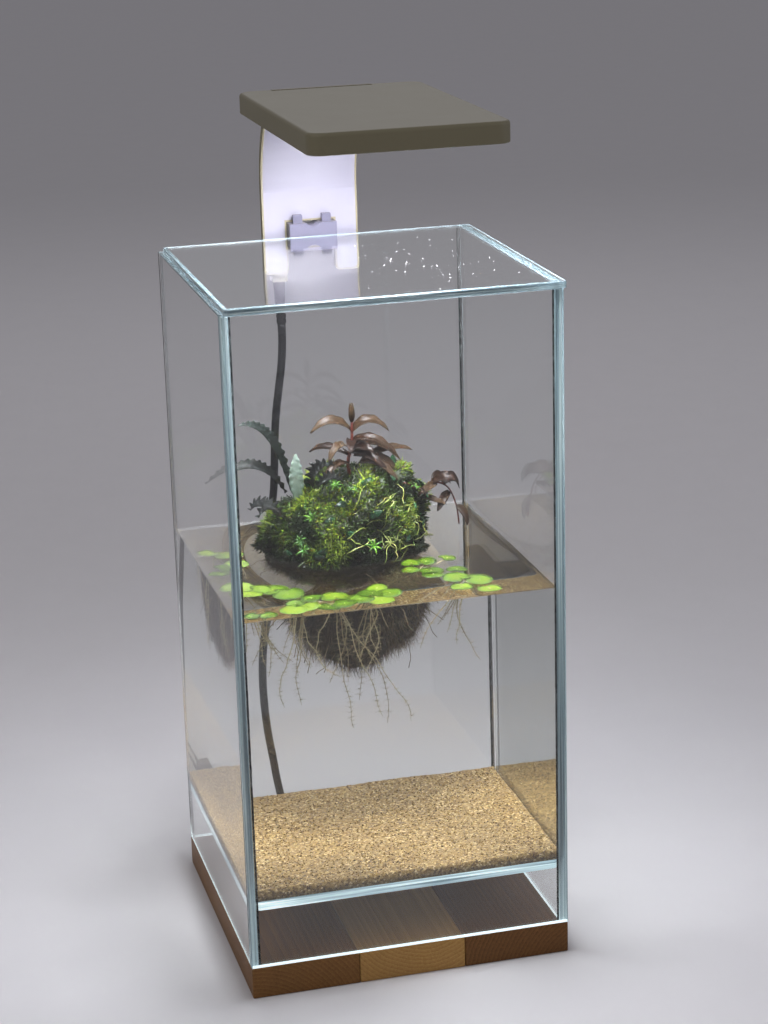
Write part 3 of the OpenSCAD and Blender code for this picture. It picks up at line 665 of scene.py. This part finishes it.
def make_seals():
    """A hollow-faced fillet of silicone inside each corner."""
    reach = 1.2 * MM
    hollow = [(wall_x - reach * (1 - math.sin(t)), wall_y - reach * (1 - math.cos(t)))
              for t in np.linspace(0, math.pi / 2, 6)]
    outline = [(wall_x, wall_y), *hollow]
    for node in ("seal_front_left", "seal_front_right", "seal_back_left", "seal_back_right"):
        sx = 1 if "right" in node else -1
        sy = 1 if "back" in node else -1
        ends = (low(node).z + 0.2 * MM, rim_z - 0.6 * MM)
        shape = Shape()
        shape.loft([[(sx * x, sy * y, z) for x, y in outline] for z in ends])
        seal = shape.build(node.replace("seal", "bead"), [silicone], "tank", (node,))
        crease(seal, 40)


# ---------- sand and water ----------

def swell(x, y):
    """How far the sand rises at a place, in millimetres."""
    return noise.noise(Vector((x * 22, y * 22, 3))) * 1.1 + noise.noise(Vector((x * 60, y * 60, 9))) * 0.5


def make_sand():
    """The bed: a grained top that rises and falls a little, straight sides against the glass."""
    half_x, half_y = wall_x - 0.15 * MM, wall_y - 0.15 * MM
    count = 170
    points = []
    for y in np.linspace(-half_y, half_y, count):
        for x in np.linspace(-half_x, half_x, count):
            points.append((x, y, sand_top + (swell(x, y) + rng.uniform(-0.2, 0.2) - 1.0) * MM))
    top = [(j * count + i, j * count + i + 1, (j + 1) * count + i + 1, (j + 1) * count + i)
           for j in range(count - 1) for i in range(count - 1)]
    last_row = (count - 1) * count
    rim = [*range(count), *[k * count + count - 1 for k in range(1, count)],
           *[last_row + k for k in range(count - 2, -1, -1)], *[k * count for k in range(count - 2, 0, -1)]]
    foot = sand_low + 0.1 * MM
    for depth in (0.45, 1.0):
        points += [(points[i][0], points[i][1], points[i][2] + depth * (foot - points[i][2])) for i in rim]
    n = len(rim)
    base = count * count
    sides = [(rim[(k + 1) % n], rim[k], base + k, base + (k + 1) % n) for k in range(n)]
    sides += [(base + (k + 1) % n, base + k, base + n + k, base + n + (k + 1) % n) for k in range(n)]
    bottom = [tuple(base + n + k for k in reversed(range(n)))]
    shape = Shape()
    shape.add(points, top + sides + bottom, tone=1.0)
    shape.tones[base + n:] = [0.35] * n
    loose = 3200
    place = np.stack([rng.uniform(-half_x + 1 * MM, half_x - 1 * MM, loose),
                      rng.uniform(-half_y + 1 * MM, half_y - 1 * MM, loose)], 1)
    heights = [sand_top + (swell(x, y) - 0.75) * MM for x, y in place]
    octa = np.array([(1, 0, 0), (-1, 0, 0), (0, 1, 0), (0, -1, 0), (0, 0, 1), (0, 0, -1)], float)
    faces = [(0, 2, 4), (2, 1, 4), (1, 3, 4), (3, 0, 4), (2, 0, 5), (1, 2, 5), (3, 1, 5), (0, 3, 5)]
    size = rng.uniform(0.35, 0.8, (loose, 1, 1)) * MM * rng.uniform(0.7, 1.3, (loose, 6, 1))
    grains = octa[None] * size + np.concatenate([place, np.array(heights)[:, None]], 1)[:, None]
    shape.add_many(grains, faces, rng.uniform(0.75, 1.0, loose))
    shape.build("sand_layer", [sand_look], "tank", ("sand_bed",))


def make_water():
    """One still block. Its edge climbs the glass a little, and it reaches a hair into the panels."""
    over = 0.06 * MM
    levels = [(over, sand_low + 0.2 * MM - water_z), (over, 0.9 * MM), (-0.25 * MM, 0.75 * MM),
              (-0.9 * MM, 0.3 * MM), (-2.0 * MM, 0.08 * MM), (-4.0 * MM, 0.0), (-4.5 * MM, 0.0)]
    loops = []
    for grow, z in levels:
        outline = round_rect(2 * (wall_x + grow), 2 * (wall_y + grow), 0.4 * MM, 1)
        loops.append([(x, y, water_z + z) for x, y in outline])
    shape = Shape()
    shape.loft(loops)
    water = shape.build("water_body", [water_look], "tank", ("water",))
    crease(water, 20)


# ---------- the island ----------

CROWN_SHIFT = 11 * MM
CROWN_FALL = 0.38
LUMP = 9 * MM
ROOT_LUMP = 4.5 * MM
MAT_DEPTH = 4 * MM                             # the lumpy body lies this far under the island's outline
LEAF_THICKNESS = 0.35 * MM
SHADE_RIM = 11 * MM                              # moss this near the water gets painted shade, darker towards the water line
TURN_LIMIT = math.radians(25)


def dome_point(turn, rise, grow=0.0):
    """A point on the island above or below the water, at an angle round it and up it, in radians."""
    up = rise >= 0
    flat = abs(math.cos(rise)) ** (0.7 if up else 0.85)
    reach = island_r + grow
    skew = 0.0
    if up:
        height = (island_up + grow) * math.sin(rise)
        skew = CROWN_SHIFT * math.sin(rise)
        height *= 1 - CROWN_FALL * max(0.0, -math.cos(turn)) * math.cos(rise)
    else:
        height = -(island_down + grow) * abs(math.sin(rise)) ** 1.15
    x, y = reach * flat * math.cos(turn) + skew, reach * flat * math.sin(turn)
    return island_mid + Vector((x, y, height))


def lump(p, scale=48.0):
    return noise.fractal(Vector(p) * scale, 0.8, 2.2, 3)


def make_mat(name, paint, node, low_rise, high_rise):
    """The lumpy body under the fronds or the root hairs."""
    turns = 96
    loops = []
    for rise in np.linspace(low_rise, high_rise, 26):
        loop = []
        for k in range(turns):
            p = dome_point(2 * math.pi * k / turns, rise, -MAT_DEPTH)
            outward = (p - island_mid).normalized()
            loop.append(p + outward * lump(p) * (ROOT_LUMP if rise < 0 else LUMP))
        loops.append(loop)
    if high_rise <= 0:
        loops.append([island_mid + (p - island_mid) * 0.72 + Vector((0, 0, 4 * MM)) for p in loops[-1]])
    shape = Shape()
    shape.loft(loops)
    shape.tones = [0.25 + 0.3 * lump(p, 120) for p in shape.points]
    shape.build(name, [paint], "island", (node,))


def frames_for(normals, lean):
    """Random directions near normals, with a side and an up for each."""
    n = len(normals)
    wander = rng.normal(0, lean, (n, 3))
    ahead = normals + wander
    ahead /= np.linalg.norm(ahead, axis=1, keepdims=True)
    side = np.cross(ahead, rng.normal(0, 1, (n, 3)))
    side /= np.linalg.norm(side, axis=1, keepdims=True)
    return ahead, side, np.cross(side, ahead)


LEAFLET_FACES = [(0, 1, 4), (1, 3, 4), (3, 2, 4), (2, 0, 4), (1, 0, 5), (3, 1, 5), (2, 3, 5), (0, 2, 5)]


def leaflets(bases, normals, lengths, widths, lean, droop):
    """Small closed leaves: base, two sides, tip, and a raised middle on both faces."""
    ahead, side, up = frames_for(normals, lean)
    lengths, widths = lengths[:, None], widths[:, None]
    tip = bases + ahead * lengths - np.array([0, 0, 1]) * droop * lengths
    mid = bases + ahead * lengths * 0.5
    points = [bases, mid + side * widths / 2, mid - side * widths / 2, tip,
              mid + up * widths * 0.22, mid - up * widths * 0.06]
    return np.stack(points, 1)


def scatter(count, low_rise, high_rise, depth):
    """Points on the island with outward directions."""
    bases, normals = [], []
    while len(bases) < count:
        turn = rng.uniform(0, 2 * math.pi)
        rise = math.asin(rng.uniform(math.sin(low_rise), math.sin(high_rise)))
        p = dome_point(turn, rise, -depth)
        away = p - island_mid
        outward = Vector((away.x, away.y, away.z * 1.1 + 6 * MM)).normalized()
        bases.append(p + outward * lump(p) * LUMP)
        normals.append(outward)
    return np.array(bases), np.array(normals)


def clear_of_back(points):
    """Points drawn in where the island would carry them into the back panel as it turns."""
    axis = np.array(island_mid[:2])
    flat = points[..., :2] - axis
    away = np.clip(np.abs(np.arctan2(flat[..., 0], flat[..., 1])) - TURN_LIMIT, 0, 1.5)
    reach = (wall_y - axis[1] - 0.8 * MM) / np.cos(away)
    share = np.minimum(1, reach / np.linalg.norm(flat, axis=-1))
    points[..., :2] = axis + flat * share[..., None]
    return points


def make_moss():
    make_mat("moss_body", moss_dark, "island_moss", 0.0, 1.54)
    shape = Shape()
    count = 21000
    bases, normals = scatter(count, 0.0, 1.5, MAT_DEPTH)
    patch = np.array([noise.noise(Vector(p) * 60) for p in bases])
    # Painted light and shade: fronds facing up, towards +x or towards the front get a lighter tone, those
    # facing the back a darker one.
    lit = 0.45 * normals[:, 2] + 0.18 * normals[:, 0] - 0.08 * normals[:, 1]
    tones = 0.15 + lit * 0.5 + patch * 0.95 + rng.normal(0, 0.16, count)
    # Painted shade: fronds darken towards the water line.
    tones -= 0.5 * np.clip((water_z + SHADE_RIM - bases[:, 2]) / SHADE_RIM, 0, 1)
    lengths = rng.uniform(2.0, 5.0, count) * MM * (1 + 0.9 * np.clip(patch * 2, 0, 1))
    widths = rng.uniform(0.5, 1.3, count) * MM
    fronds = clear_of_back(leaflets(bases, normals, lengths, widths, 0.75, 0.1))
    shape.add_many(fronds, LEAFLET_FACES, np.clip(tones, 0, 1))
    shape.build("moss_fronds", [moss_green], "island", smooth=False)


def blade(shape, path, width, side, fold=0.25, ruffle=0.0, waves=6, tone=0.5, paint=0, tip_tone=None):
    """A leaf along a path: widest past its foot, folded on its midrib, with wavy edges if ruffle is set."""
    across = (-1, -0.6, 0, 0.6, 1)
    n = len(path)
    end = tone if tip_tone is None else tip_tone
    loops, shades = [], []
    for i, p in enumerate(path):
        t = i / (n - 1)
        ahead = (path[min(i + 1, n - 1)] - path[max(i - 1, 0)]).normalized()
        s = (side - ahead * side.dot(ahead)).normalized()
        lift = s.cross(ahead)
        half = width / 2 * max(0.10, math.sin(math.pi * min(1, 0.06 + 0.93 * t ** 0.85)) ** 0.75)
        rim = []
        for a in across:
            wave = ruffle * a * a * math.sin(2 * math.pi * waves * t + 1.6 * a)
            rim.append(p + s * a * (half + 0.5 * wave) + lift * (fold * abs(a) * half + wave))
        skin = lift * LEAF_THICKNESS / 2
        loops.append([*[q + skin for q in rim], *[q - skin for q in reversed(rim)]])
        shades += [tone + (end - tone) * t] * (2 * len(across))
    start = len(shape.points)
    shape.loft(loops, paint, tone)
    shape.tones[start:] = shades


def side_facing(path, tip):
    """A leaf's sideways direction, so that its upper face is tipped forward by an angle."""
    return (path[-1] - path[0]).cross(Vector((0, -math.sin(tip), math.cos(tip)))).normalized()


def rosette(shape, p, up, count, length, width, tone):
    """Leaves that fan out round a stem tip."""
    turn0 = rng.uniform(0, 6.28)
    u = up.orthogonal().normalized()
    for k in range(count):
        a = turn0 + 2 * math.pi * k / count
        out = Matrix.Rotation(a, 3, up) @ u
        size = length * rng.uniform(0.7, 1.1)
        bend, end = p + out * size * 0.45 + up * size * 0.55, p + out * size * 0.95 + up * size * 0.2
        wide = width * rng.uniform(0.8, 1.1)
        blade(shape, bezier(p, bend, end, 6), wide, up.cross(out), 0.3, tone=tone + rng.uniform(-0.15, 0.2))


def make_small_plants():
    """Runners over the moss, bright stem tips, and broad glossy leaves half sunk in it."""
    runners = Shape()
    for _ in range(34):
        turn = rng.uniform(-1.9, -0.4)
        rise = rng.uniform(0.1, 0.8)
        heading = rng.uniform(-1, 1)
        path = []
        for k in range(9):
            turn += 0.05 * math.cos(heading) * rng.uniform(0.4, 1.4)
            rise = min(1.2, max(0.02, rise + 0.045 * math.sin(heading)))
            heading += rng.uniform(-0.7, 0.5)
            p = dome_point(turn, rise, (1.2 * math.sin(k / 8 * math.pi) + rng.uniform(0, 0.8)) * MM)
            path.append(p + (p - island_mid).normalized() * lump(p) * LUMP)
        path = smooth_path(path, 1.6 * MM)
        radii = np.interp(np.linspace(0, 1, len(path)), [0, 0.7, 1], [0.32 * MM, 0.26 * MM, 0.1 * MM])
        runners.tube(path, list(radii), 5, tone=rng.uniform(-0.1, 0.9))
    runners.build("moss_runners", [runner_look], "island")
    tips = Shape()
    for _ in range(11):
        turn, rise = rng.uniform(-3.0, 0.6), rng.uniform(0.15, 1.3)
        p = dome_point(turn, rise, rng.uniform(-1, 2) * MM)
        out = ((p - island_mid).normalized() + Vector((0, 0, 0.6))).normalized()
        rosette(tips, p, out, 7, 6 * MM, 1.5 * MM, rng.uniform(0.0, 0.55))
    tips.build("stem_tips", [bright_leaf], "island")
    broad = Shape()
    for _ in range(26):
        turn, rise = rng.uniform(-3.3, 0.3), rng.uniform(0.1, 1.35)
        p = dome_point(turn, rise, -2 * MM)
        out = (p - island_mid).normalized()
        swing = Vector((-out.y, out.x, 0.2)).normalized() * rng.choice([-1, 1])
        size = rng.uniform(7, 12) * MM
        bend = p + out * size * 0.6 + swing * size * 0.3
        path = bezier(p, bend, p + out * size * 0.5 + swing * size * 0.95, 8)
        blade(broad, path, rng.uniform(3.5, 5.5) * MM, out.cross(swing), 0.18, tone=rng.uniform(0.0, 0.7))
    broad.build("broad_leaves", [deep_leaf], "island")


def make_island_roots():
    make_mat("root_body", root_mat, "island_roots", -1.54, 0.0)
    shape = Shape()
    count = 9000
    bases, normals = [], []
    while len(bases) < count:
        turn, rise = rng.uniform(0, 2 * math.pi), -math.asin(rng.uniform(0.06, 0.999))
        p = dome_point(turn, rise, -MAT_DEPTH)
        outward = (p - island_mid + Vector((0, 0, -0.01))).normalized()
        bases.append(p + outward * lump(p) * ROOT_LUMP)
        normals.append(outward)
    bases, normals = np.array(bases), np.array(normals)
    ahead, side, up = frames_for(normals, 0.45)
    sunk = np.clip((water_z - bases[:, 2]) / (30 * MM), 0.12, 1)
    lengths = (rng.uniform(3, 9, count) * sunk * MM)[:, None]
    r = 0.13 * MM
    tip = bases + ahead * lengths - np.array([0, 0, 1]) * lengths * 0.25
    back, lift = side * 0.5 * r, up * 0.87 * r
    foot = [bases + side * r, bases - back + lift, bases - back - lift]
    # Painted light: hairs facing +x get a lighter tone; all hairs get darker nearer the water line.
    tones = (0.1 + 0.5 * rng.random(count) + 0.25 * (normals[:, 0] > 0.2)) * sunk
    shape.add_many(np.stack([*foot, tip], 1), [(0, 2, 1), (0, 1, 3), (1, 2, 3), (2, 0, 3)], tones)
    for _ in range(34):
        turn = rng.uniform(0, 2 * math.pi)
        p = dome_point(turn, -rng.uniform(0.2, 1.2), -3 * MM)
        out = (p - island_mid).normalized()
        path = [p]
        for k in range(8):
            out = (out + Vector(rng.normal(0, 0.22, 3)) + Vector((0, 0, -0.16))).normalized()
            path.append(path[-1] + out * rng.uniform(1.5, 3) * MM)
        path = [Vector((q.x, min(q.y, wall_y - 2 * MM), q.z)) for q in path]
        shape.tube(smooth_path(path, 2 * MM), 0.28 * MM, 4, tone=rng.uniform(0.3, 1.0))
    shape.build("root_hairs", [root_hair], "island")


def from_island(x, y, z):
    """A point in millimetres from the island's middle at the water line."""
    return island_mid + Vector((x, y, z)) * MM


def leaf_line(a, b, c, count):
    return bezier(from_island(*a), from_island(*b), from_island(*c), count)


def stem_line(*points):
    return smooth_path([from_island(*p) for p in points], 2 * MM)


def make_red_plant():
    shape = Shape()
    top = high("red_stem_plant").z - water_z
    stem = stem_line((8, 0, 38), (6, -1, 52), (9, 0, 64), (9.5, 0, top / MM - 12))
    shape.tube(stem, list(np.linspace(1.3 * MM, 0.8 * MM, len(stem))), 8, 1, 0.6)
    leaves = [((9, 0, 72), (-4, -2, 88), (-18, -4, 74), 6.5, 0.75),
              ((9, 0, 71), (20, 1, 86), (33, -2, 70), 6.5, 0.7),
              ((9, 0, 66), (22, -8, 74), (36, -10, 56), 5.5, 0.55),
              ((8, 0, 60), (-4, -10, 74), (-10, -14, 54), 5, 0.8),
              ((9, 0, 62), (26, 6, 68), (42, 4, 48), 5, 0.6),
              ((8, 0, 58), (20, -12, 62), (28, -16, 46), 5.5, 0.35),
              ((8, 0, 56), (-6, 8, 66), (-16, 10, 58), 5, 0.5),
              ((9, 0, 60), (14, -8, 66), (20, -12, 60), 7, 0.25),
              ((9, 0, 66), (6, -10, 70), (4, -16, 62), 6, 0.3),
              ((10, 0, 56), (28, -8, 60), (38, -10, 42), 6, 0.5),
              ((12, -4, 52), (26, -14, 58), (34, -18, 40), 5.5, 0.65),
              ((6, -4, 52), (-8, -14, 60), (-14, -18, 44), 5, 0.6),
              ((14, 2, 50), (34, 8, 62), (50, 6, 54), 5, 0.7)]
    for a, b, c, width, tone in leaves:
        path = leaf_line(a, b, c, 14)
        blade(shape, path, 1.05 * width * MM, side_facing(path, 0.7), 0.35, 0.3 * MM, 4, tone=tone - 0.1,
              tip_tone=tone + 0.1)
    for turn in (0.4, 2.5, 4.6):
        out = Vector((math.cos(turn), math.sin(turn), 0)) * 3 * MM
        base = stem[-1] - Vector((0, 0, 1 * MM))
        end = Vector((base.x, base.y, water_z + top)) + out * 0.25
        path = bezier(base, (base + end) / 2 + out, end, 9)
        blade(shape, path, 4 * MM, out.cross(Vector((0, 0, 1))), 0.5, tone=0.5, tip_tone=0.85)
    shoots = [((30, -14, 34), (38, -18, 40), (44, -20, 36)), ((28, 10, 40), (42, 12, 46), (50, 10, 30))]
    for shoot in shoots:
        path = stem_line(*shoot)
        shape.tube(path, 0.5 * MM, 6, 1, 0.4)
        rosette(shape, path[-1], Vector((0.5, -0.2, 0.8)).normalized(), 5, 9 * MM, 3 * MM, 0.45)
    shape.build("red_plant", [red_leaf, red_stem], "island", ("red_stem_plant",))


def make_ruffled_leaves():
    reach = (island_mid.x - low("ruffled_leaves").x) / MM
    shape = Shape()
    # Painted sheen: the two long arcs lighten towards their tips, standing in for light they catch.
    arcs = [((-30, 4, 36), (-40, 0, 88), (-reach * 0.8, -6, 84), 4.6, 0.8, 14, 0.15, 0.6),
            ((-33, 7, 34), (-50, 6, 70), (-reach, 2, 46), 4.6, 0.8, 14, 0.1, 0.45),
            ((-40, -16, 24), (-50, -24, 46), (-58, -26, 30), 5, 1.9, 7, 0.0, 0.15),
            ((-42, -12, 26), (-56, -20, 44), (-62, -22, 34), 4.5, 1.9, 7, 0.1, 0.0),
            ((-20, -12, 42), (-24, -20, 62), (-8, -22, 58), 5, 1.9, 7, 0.0, 0.2),
            ((-18, -14, 42), (-12, -24, 56), (-4, -26, 48), 4.5, 1.9, 7, 0.15, 0.05)]
    for a, b, c, width, ruffle, waves, tone, tip in arcs:
        path = leaf_line(a, b, c, 56)
        side = side_facing(path, 0.9)
        blade(shape, path, 1.4 * width * MM, side, 0.2, ruffle * MM, waves, tone=tone, tip_tone=tip)
    path = leaf_line((-28, -6, 32), (-30, -9, 50), (-29, -8, 63), 30)
    blade(shape, path, 9 * MM, Vector((1, -0.15, 0)), 0.3, 0.5 * MM, 7, tone=0.35, tip_tone=0.6, paint=1)
    shape.build("long_leaves", [dark_leaf, silver_leaf], "island", ("ruffled_leaves",))


def make_sprig():
    shape = Shape()
    stem = stem_line((44, -6, 20), (56, -6, 34), (68, -6, 32), (74, -7, 20), (76, -7, 6))
    shape.tube(stem, 0.55 * MM, 6, 1, 0.3)
    leaves = [((58, -6, 34), (66, -12, 44), (74, -14, 36), 6, 0.5),
              ((66, -6, 33), (74, -2, 42), (78, -2, 28), 6.5, 0.35),
              ((62, -6, 34), (54, -14, 36), (46, -18, 30), 4.5, 0.8),
              ((70, -6, 28), (64, -12, 26), (60, -14, 18), 5, 0.6),
              ((74, -7, 18), (80, -10, 16), (80, -12, 6), 4.5, 0.7),
              ((60, -6, 34), (64, 2, 42), (74, 4, 30), 6, 0.4),
              ((50, -6, 28), (58, -12, 26), (66, -14, 22), 3.5, 0.95)]
    for a, b, c, width, tone in leaves:
        path = leaf_line(a, b, c, 12)
        side = side_facing(path, 0.8)
        blade(shape, path, 1.15 * width * MM, side, 0.3, 0.2 * MM, 3, tone=tone, tip_tone=tone - 0.2)
    shape.build("side_sprig", [red_leaf, red_stem], "island", ("right_sprig",))


# ---------- floating plants ----------

RIM_SHADE = 0.45
PAD_LEVELS = [(0.08, -0.7), (0.6, -0.75), (0.95, -0.45), (1.0, 0.0), (0.93, 0.3), (0.55, 0.45), (0.12, 0.2)]


def pad(shape, center, radius, turn, tilt, tone):
    """A round floating leaf with the notch of its stalk, dished a little."""
    thickness = 0.55 * MM
    lean = Matrix.Rotation(tilt, 3, Vector((math.cos(turn + 1.3), math.sin(turn + 1.3), 0)))
    loops = []
    for share, level in PAD_LEVELS:
        loop = []
        for k in range(30):
            a = 2 * math.pi * k / 30
            gap = min(a, 2 * math.pi - a)
            r = radius * share * (1 - 0.38 * math.exp(-(gap / 0.32) ** 2)) * (1 + 0.1 * math.cos(a))
            rise = level * thickness + 0.5 * MM * share ** 3 * (1 + math.cos(2 * a)) * 0.4
            loop.append(center + lean @ Vector((r * math.cos(a + turn), r * math.sin(a + turn), rise)))
        loops.append(loop)
    start = len(shape.points)
    shape.loft(loops, 0, tone)
    shape.tones[start:] = [tone - RIM_SHADE * share ** 4 for share, _ in PAD_LEVELS for _ in range(30)]


def root_strand(shape, start, lean, length, hairs, tone):
    """One hanging root with fine side hairs."""
    count = max(4, round(length / (7 * MM)))
    p, ahead = Vector(start), Vector((lean[0], lean[1], -1)).normalized()
    path = [p.copy()]
    for _ in range(count):
        ahead = (ahead + Vector((*rng.normal(0, 0.2, 2), -0.06))).normalized()
        p = p + ahead * length / count
        path.append(p.copy())
    limit_x, limit_y = wall_x - 1.5 * MM, wall_y - 1.5 * MM
    path = [Vector((min(limit_x, max(-limit_x, q.x)), min(limit_y, max(-limit_y, q.y)), q.z)) for q in path]
    path = smooth_path(path, 3 * MM)
    shape.tube(path, list(np.linspace(0.42 * MM, 0.12 * MM, len(path))), 5, 1, tone)
    picks = rng.integers(1, len(path) - 1, hairs)
    bases = np.array([path[i] for i in picks])
    sideways = rng.normal(0, 1, (hairs, 3)) * np.array([1, 1, 0.35])
    sideways /= np.linalg.norm(sideways, axis=1, keepdims=True)
    tips = bases + sideways * (rng.uniform(1.5, 5.0, hairs) * MM)[:, None]
    tips[:, 0] = np.clip(tips[:, 0], -limit_x, limit_x)
    tips[:, 1] = np.clip(tips[:, 1], -limit_y, limit_y)
    r = 0.07 * MM
    corner = [np.array([r, 0, -r]), np.array([-r, r, 0]), np.array([0, -r, r])]
    points = np.stack([*[bases + c for c in corner], tips], 1)
    shape.add_many(points, [(0, 1, 2), (1, 0, 3), (2, 1, 3), (0, 2, 3)], np.full(hairs, tone + 0.1), 1)


# pads of each plant: x and y from its middle, radius, all in millimetres, and the notch's way in degrees
PADS = {
    1: [(-7, 4, 5.5, 20), (5, -4, 6.5, 150)],
    2: [(2, 3, 6, 200), (-4, -9, 5.5, 80), (8, 9, 5, 260)],
    3: [(-2, 4, 7, 250), (1, -10, 7, 90), (9, -2, 6, 180)],
    4: [(-4, 5, 8, 300), (3, -7, 8.5, 80)],
    5: [(-7, -3, 4.5, 30), (3, -6, 5, 120)],
    6: [(-4, -4, 7, 60), (6, 2, 6, 200), (0, 10, 5, 280)],
    7: [(-12, 10, 6, 330), (-6, -8, 6.5, 60), (5, -5, 7, 150), (2, 9, 7.5, 270), (-14, -2, 4.5, 10)],
    8: [(3, 6, 8, 250), (5, -9, 7, 100), (-7, -2, 7.5, 20), (13, 2, 7, 180), (8, 14, 5.5, 230)],
    9: [(-2, 9, 5.5, 260), (6, -9, 6.5, 90), (8, 10, 6, 220), (22, 11, 5, 200), (-6, -3, 5, 30)],
    10: [(-2, 2, 7.5, 300), (-4, -18, 6, 80), (10, -9, 7.5, 150), (11, -27, 6.5, 100), (3, 16, 6, 260),
         (-14, 10, 6.5, 340)],
}
PAD_GROWTH = 1.15
ROOT_LEAN = {7: (0.12, 0.25), 8: (-0.1, 0.3), 9: (-0.3, 0.3), 10: (-0.75, 0.2)}


def make_frogbit(i):
    node = f"frogbit_{i}"
    center = middle(node)
    center.z = water_z + 0.8 * MM
    deep = water_z - low(node).z
    shape = Shape()
    limit_x, limit_y = wall_x - 1.0 * MM, wall_y - 1.0 * MM
    for x, y, radius, turn in PADS[i]:
        spot = center + Vector((x, y, rng.uniform(0, 0.8))) * MM
        radius *= PAD_GROWTH
        r = radius * 1.12 * MM
        spot.x = min(limit_x - r, max(r - limit_x, spot.x))
        spot.y = min(limit_y - r, max(r - limit_y, spot.y))
        pad(shape, spot, radius * MM, math.radians(turn), rng.uniform(-0.1, 0.1), rng.uniform(0.3, 0.95))
        stalk = [center - Vector((0, 0, 1.2 * MM)), (center + spot) / 2 - Vector((0, 0, 1.6 * MM)), spot]
        shape.tube(smooth_path(stalk, 2 * MM), 0.45 * MM, 5, 1, 0.6)
    lean = ROOT_LEAN.get(i, (0.0, 0.0))
    for k in range(3 if deep < 55 * MM else 6):
        share = 1.0 if k == 0 else rng.uniform(0.45, 0.85)
        tilt = (lean[0] + rng.normal(0, 0.22), lean[1] + rng.normal(0, 0.18))
        hairs = int(190 * share * deep / (60 * MM))
        start = center + Vector((*rng.uniform(-3, 3, 2), -1)) * MM
        root_strand(shape, start, tilt, (deep - 1.5 * MM) * share, hairs, rng.uniform(0.2, 0.9))
    plant = shape.build(f"floating_plant_{i}", [pad_look, pad_root], "tank", (node,))
    crease(plant, 60)


# ---------- lamp ----------

NOTCH_HALF = 31.2 * MM
NOTCH_DEPTH = 6.2 * MM
HEAD_CORNER = 9 * MM


def head_outline(inset, z, grow=0.0):
    """A loop of the lamp head, with the notch for the bracket in its back edge."""
    a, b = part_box("lamp_cover")
    mid = (a + b) / 2
    points = round_rect(b.x - a.x - 2 * inset, b.y - a.y - 2 * inset, max(HEAD_CORNER - inset, 0.5 * MM), 8)
    back = b.y - mid.y
    half = NOTCH_HALF + grow
    depth = back - NOTCH_DEPTH - grow
    aside = middle("bracket_shell").x - mid.x
    quarter = len(points) // 4
    right, left = aside + half, aside - half
    notch = [(right, back - inset), (right, depth), (left, depth), (left, back - inset)]
    return [(mid.x + x, mid.y + y, z) for x, y in [*points[:quarter], *notch, *points[quarter:]]]


def make_lamp_cover():
    bevel, wall = 2.2 * MM, 2 * MM
    top, bottom = high("lamp_cover").z, low("lamp_cover").z
    levels = [(0.3 * MM, bottom), (0.0, bottom + 0.3 * MM)]
    for t in np.linspace(0, math.pi / 2, 7):
        levels.append((bevel * (1 - math.cos(t)), top - bevel * (1 - math.sin(t))))
    levels += [(bevel + 0.6 * MM, top)]
    inner = [head_outline(wall, z, wall) for z in (top - wall, bottom)]
    shape = Shape()
    shape.loft([*inner, *[head_outline(inset, z) for inset, z in levels]])
    cover = shape.build("lamp_shell", [lamp_coat], "lamp", ("lamp_cover",))
    crease(cover, 40)


CAD_LOOKS = {"lamp_bezel": bezel_look, "lamp_diffuser": diffuser_look, "led_board": board_look,
             "led_chips": chip_look, "head_screws": steel, "bracket_shell": lamp_coat,
             "bracket_face": band_white_shaded, "inner_lead": flex_black, "arm_screws": steel,
             "wall_clip": clip_look, "clip_screws": steel, "cord_gland": lamp_coat,
             "island_core": cork_look}
SOFT_EDGES = {"lamp_bezel": 0.3, "bracket_shell": 0.5, "bracket_face": 0.3, "wall_clip": 0.35,
              "cord_gland": 0.8, "clip_screws": 0.25, "arm_screws": 0.25, "head_screws": 0.25}


def dress_cad_nodes():
    """Materials for the CAD pieces that stay, and a small round on the edges of those that show."""
    for node, look in CAD_LOOKS.items():
        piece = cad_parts[node]
        piece.data.materials.clear()
        piece.data.materials.append(look.material)
        if node in SOFT_EDGES:
            weld = piece.modifiers.new("weld", "WELD")
            weld.merge_threshold = 0.001 * MM
            bevel = piece.modifiers.new("bevel", "BEVEL")
            bevel.width = SOFT_EDGES[node] * MM
            bevel.segments = 2
            bevel.limit_method = "ANGLE"
            bevel.angle_limit = math.radians(40)
            bevel.harden_normals = True


def make_boot():
    a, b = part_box("cord_boot")
    mid = (a + b) / 2
    shape = Shape()
    ribbed_boot(shape, (mid.x, mid.y, a.z), (mid.x, mid.y, b.z), 3.1 * MM, 3.8 * MM, "z")
    boot = shape.build("cord_relief", [flex_black], "lamp", ("cord_boot",))
    crease(boot)


def make_drops():
    """Fine splashes that dried or stayed on top of the lid, with a faint painted glow."""
    a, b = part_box("glass_lid")
    shape = Shape()
    for _ in range(70):
        x = rng.normal(0.045, 0.03)
        y = rng.normal(-0.02, 0.045)
        if not (a.x + 5 * MM < x < b.x - 5 * MM and a.y + 5 * MM < y < b.y - 5 * MM):
            continue
        r = rng.uniform(0.12, 0.42) * MM
        levels = ((0.0, 1.0), (0.22, 0.92), (0.42, 0.62), (0.5, 0.15))
        shape.loft([circle((x, y, b.z + r * h), r * s, "z", 10) for h, s in levels])
    shape.build("lid_drops", [drop_glow_look], "lid")


make_plinth()
make_glass()
make_seals()
make_sand()
make_water()
make_moss()
make_small_plants()
make_island_roots()
make_red_plant()
make_ruffled_leaves()
make_sprig()
for plant in range(1, 11):
    make_frogbit(plant)
make_lamp_cover()
dress_cad_nodes()
make_boot()
make_drops()
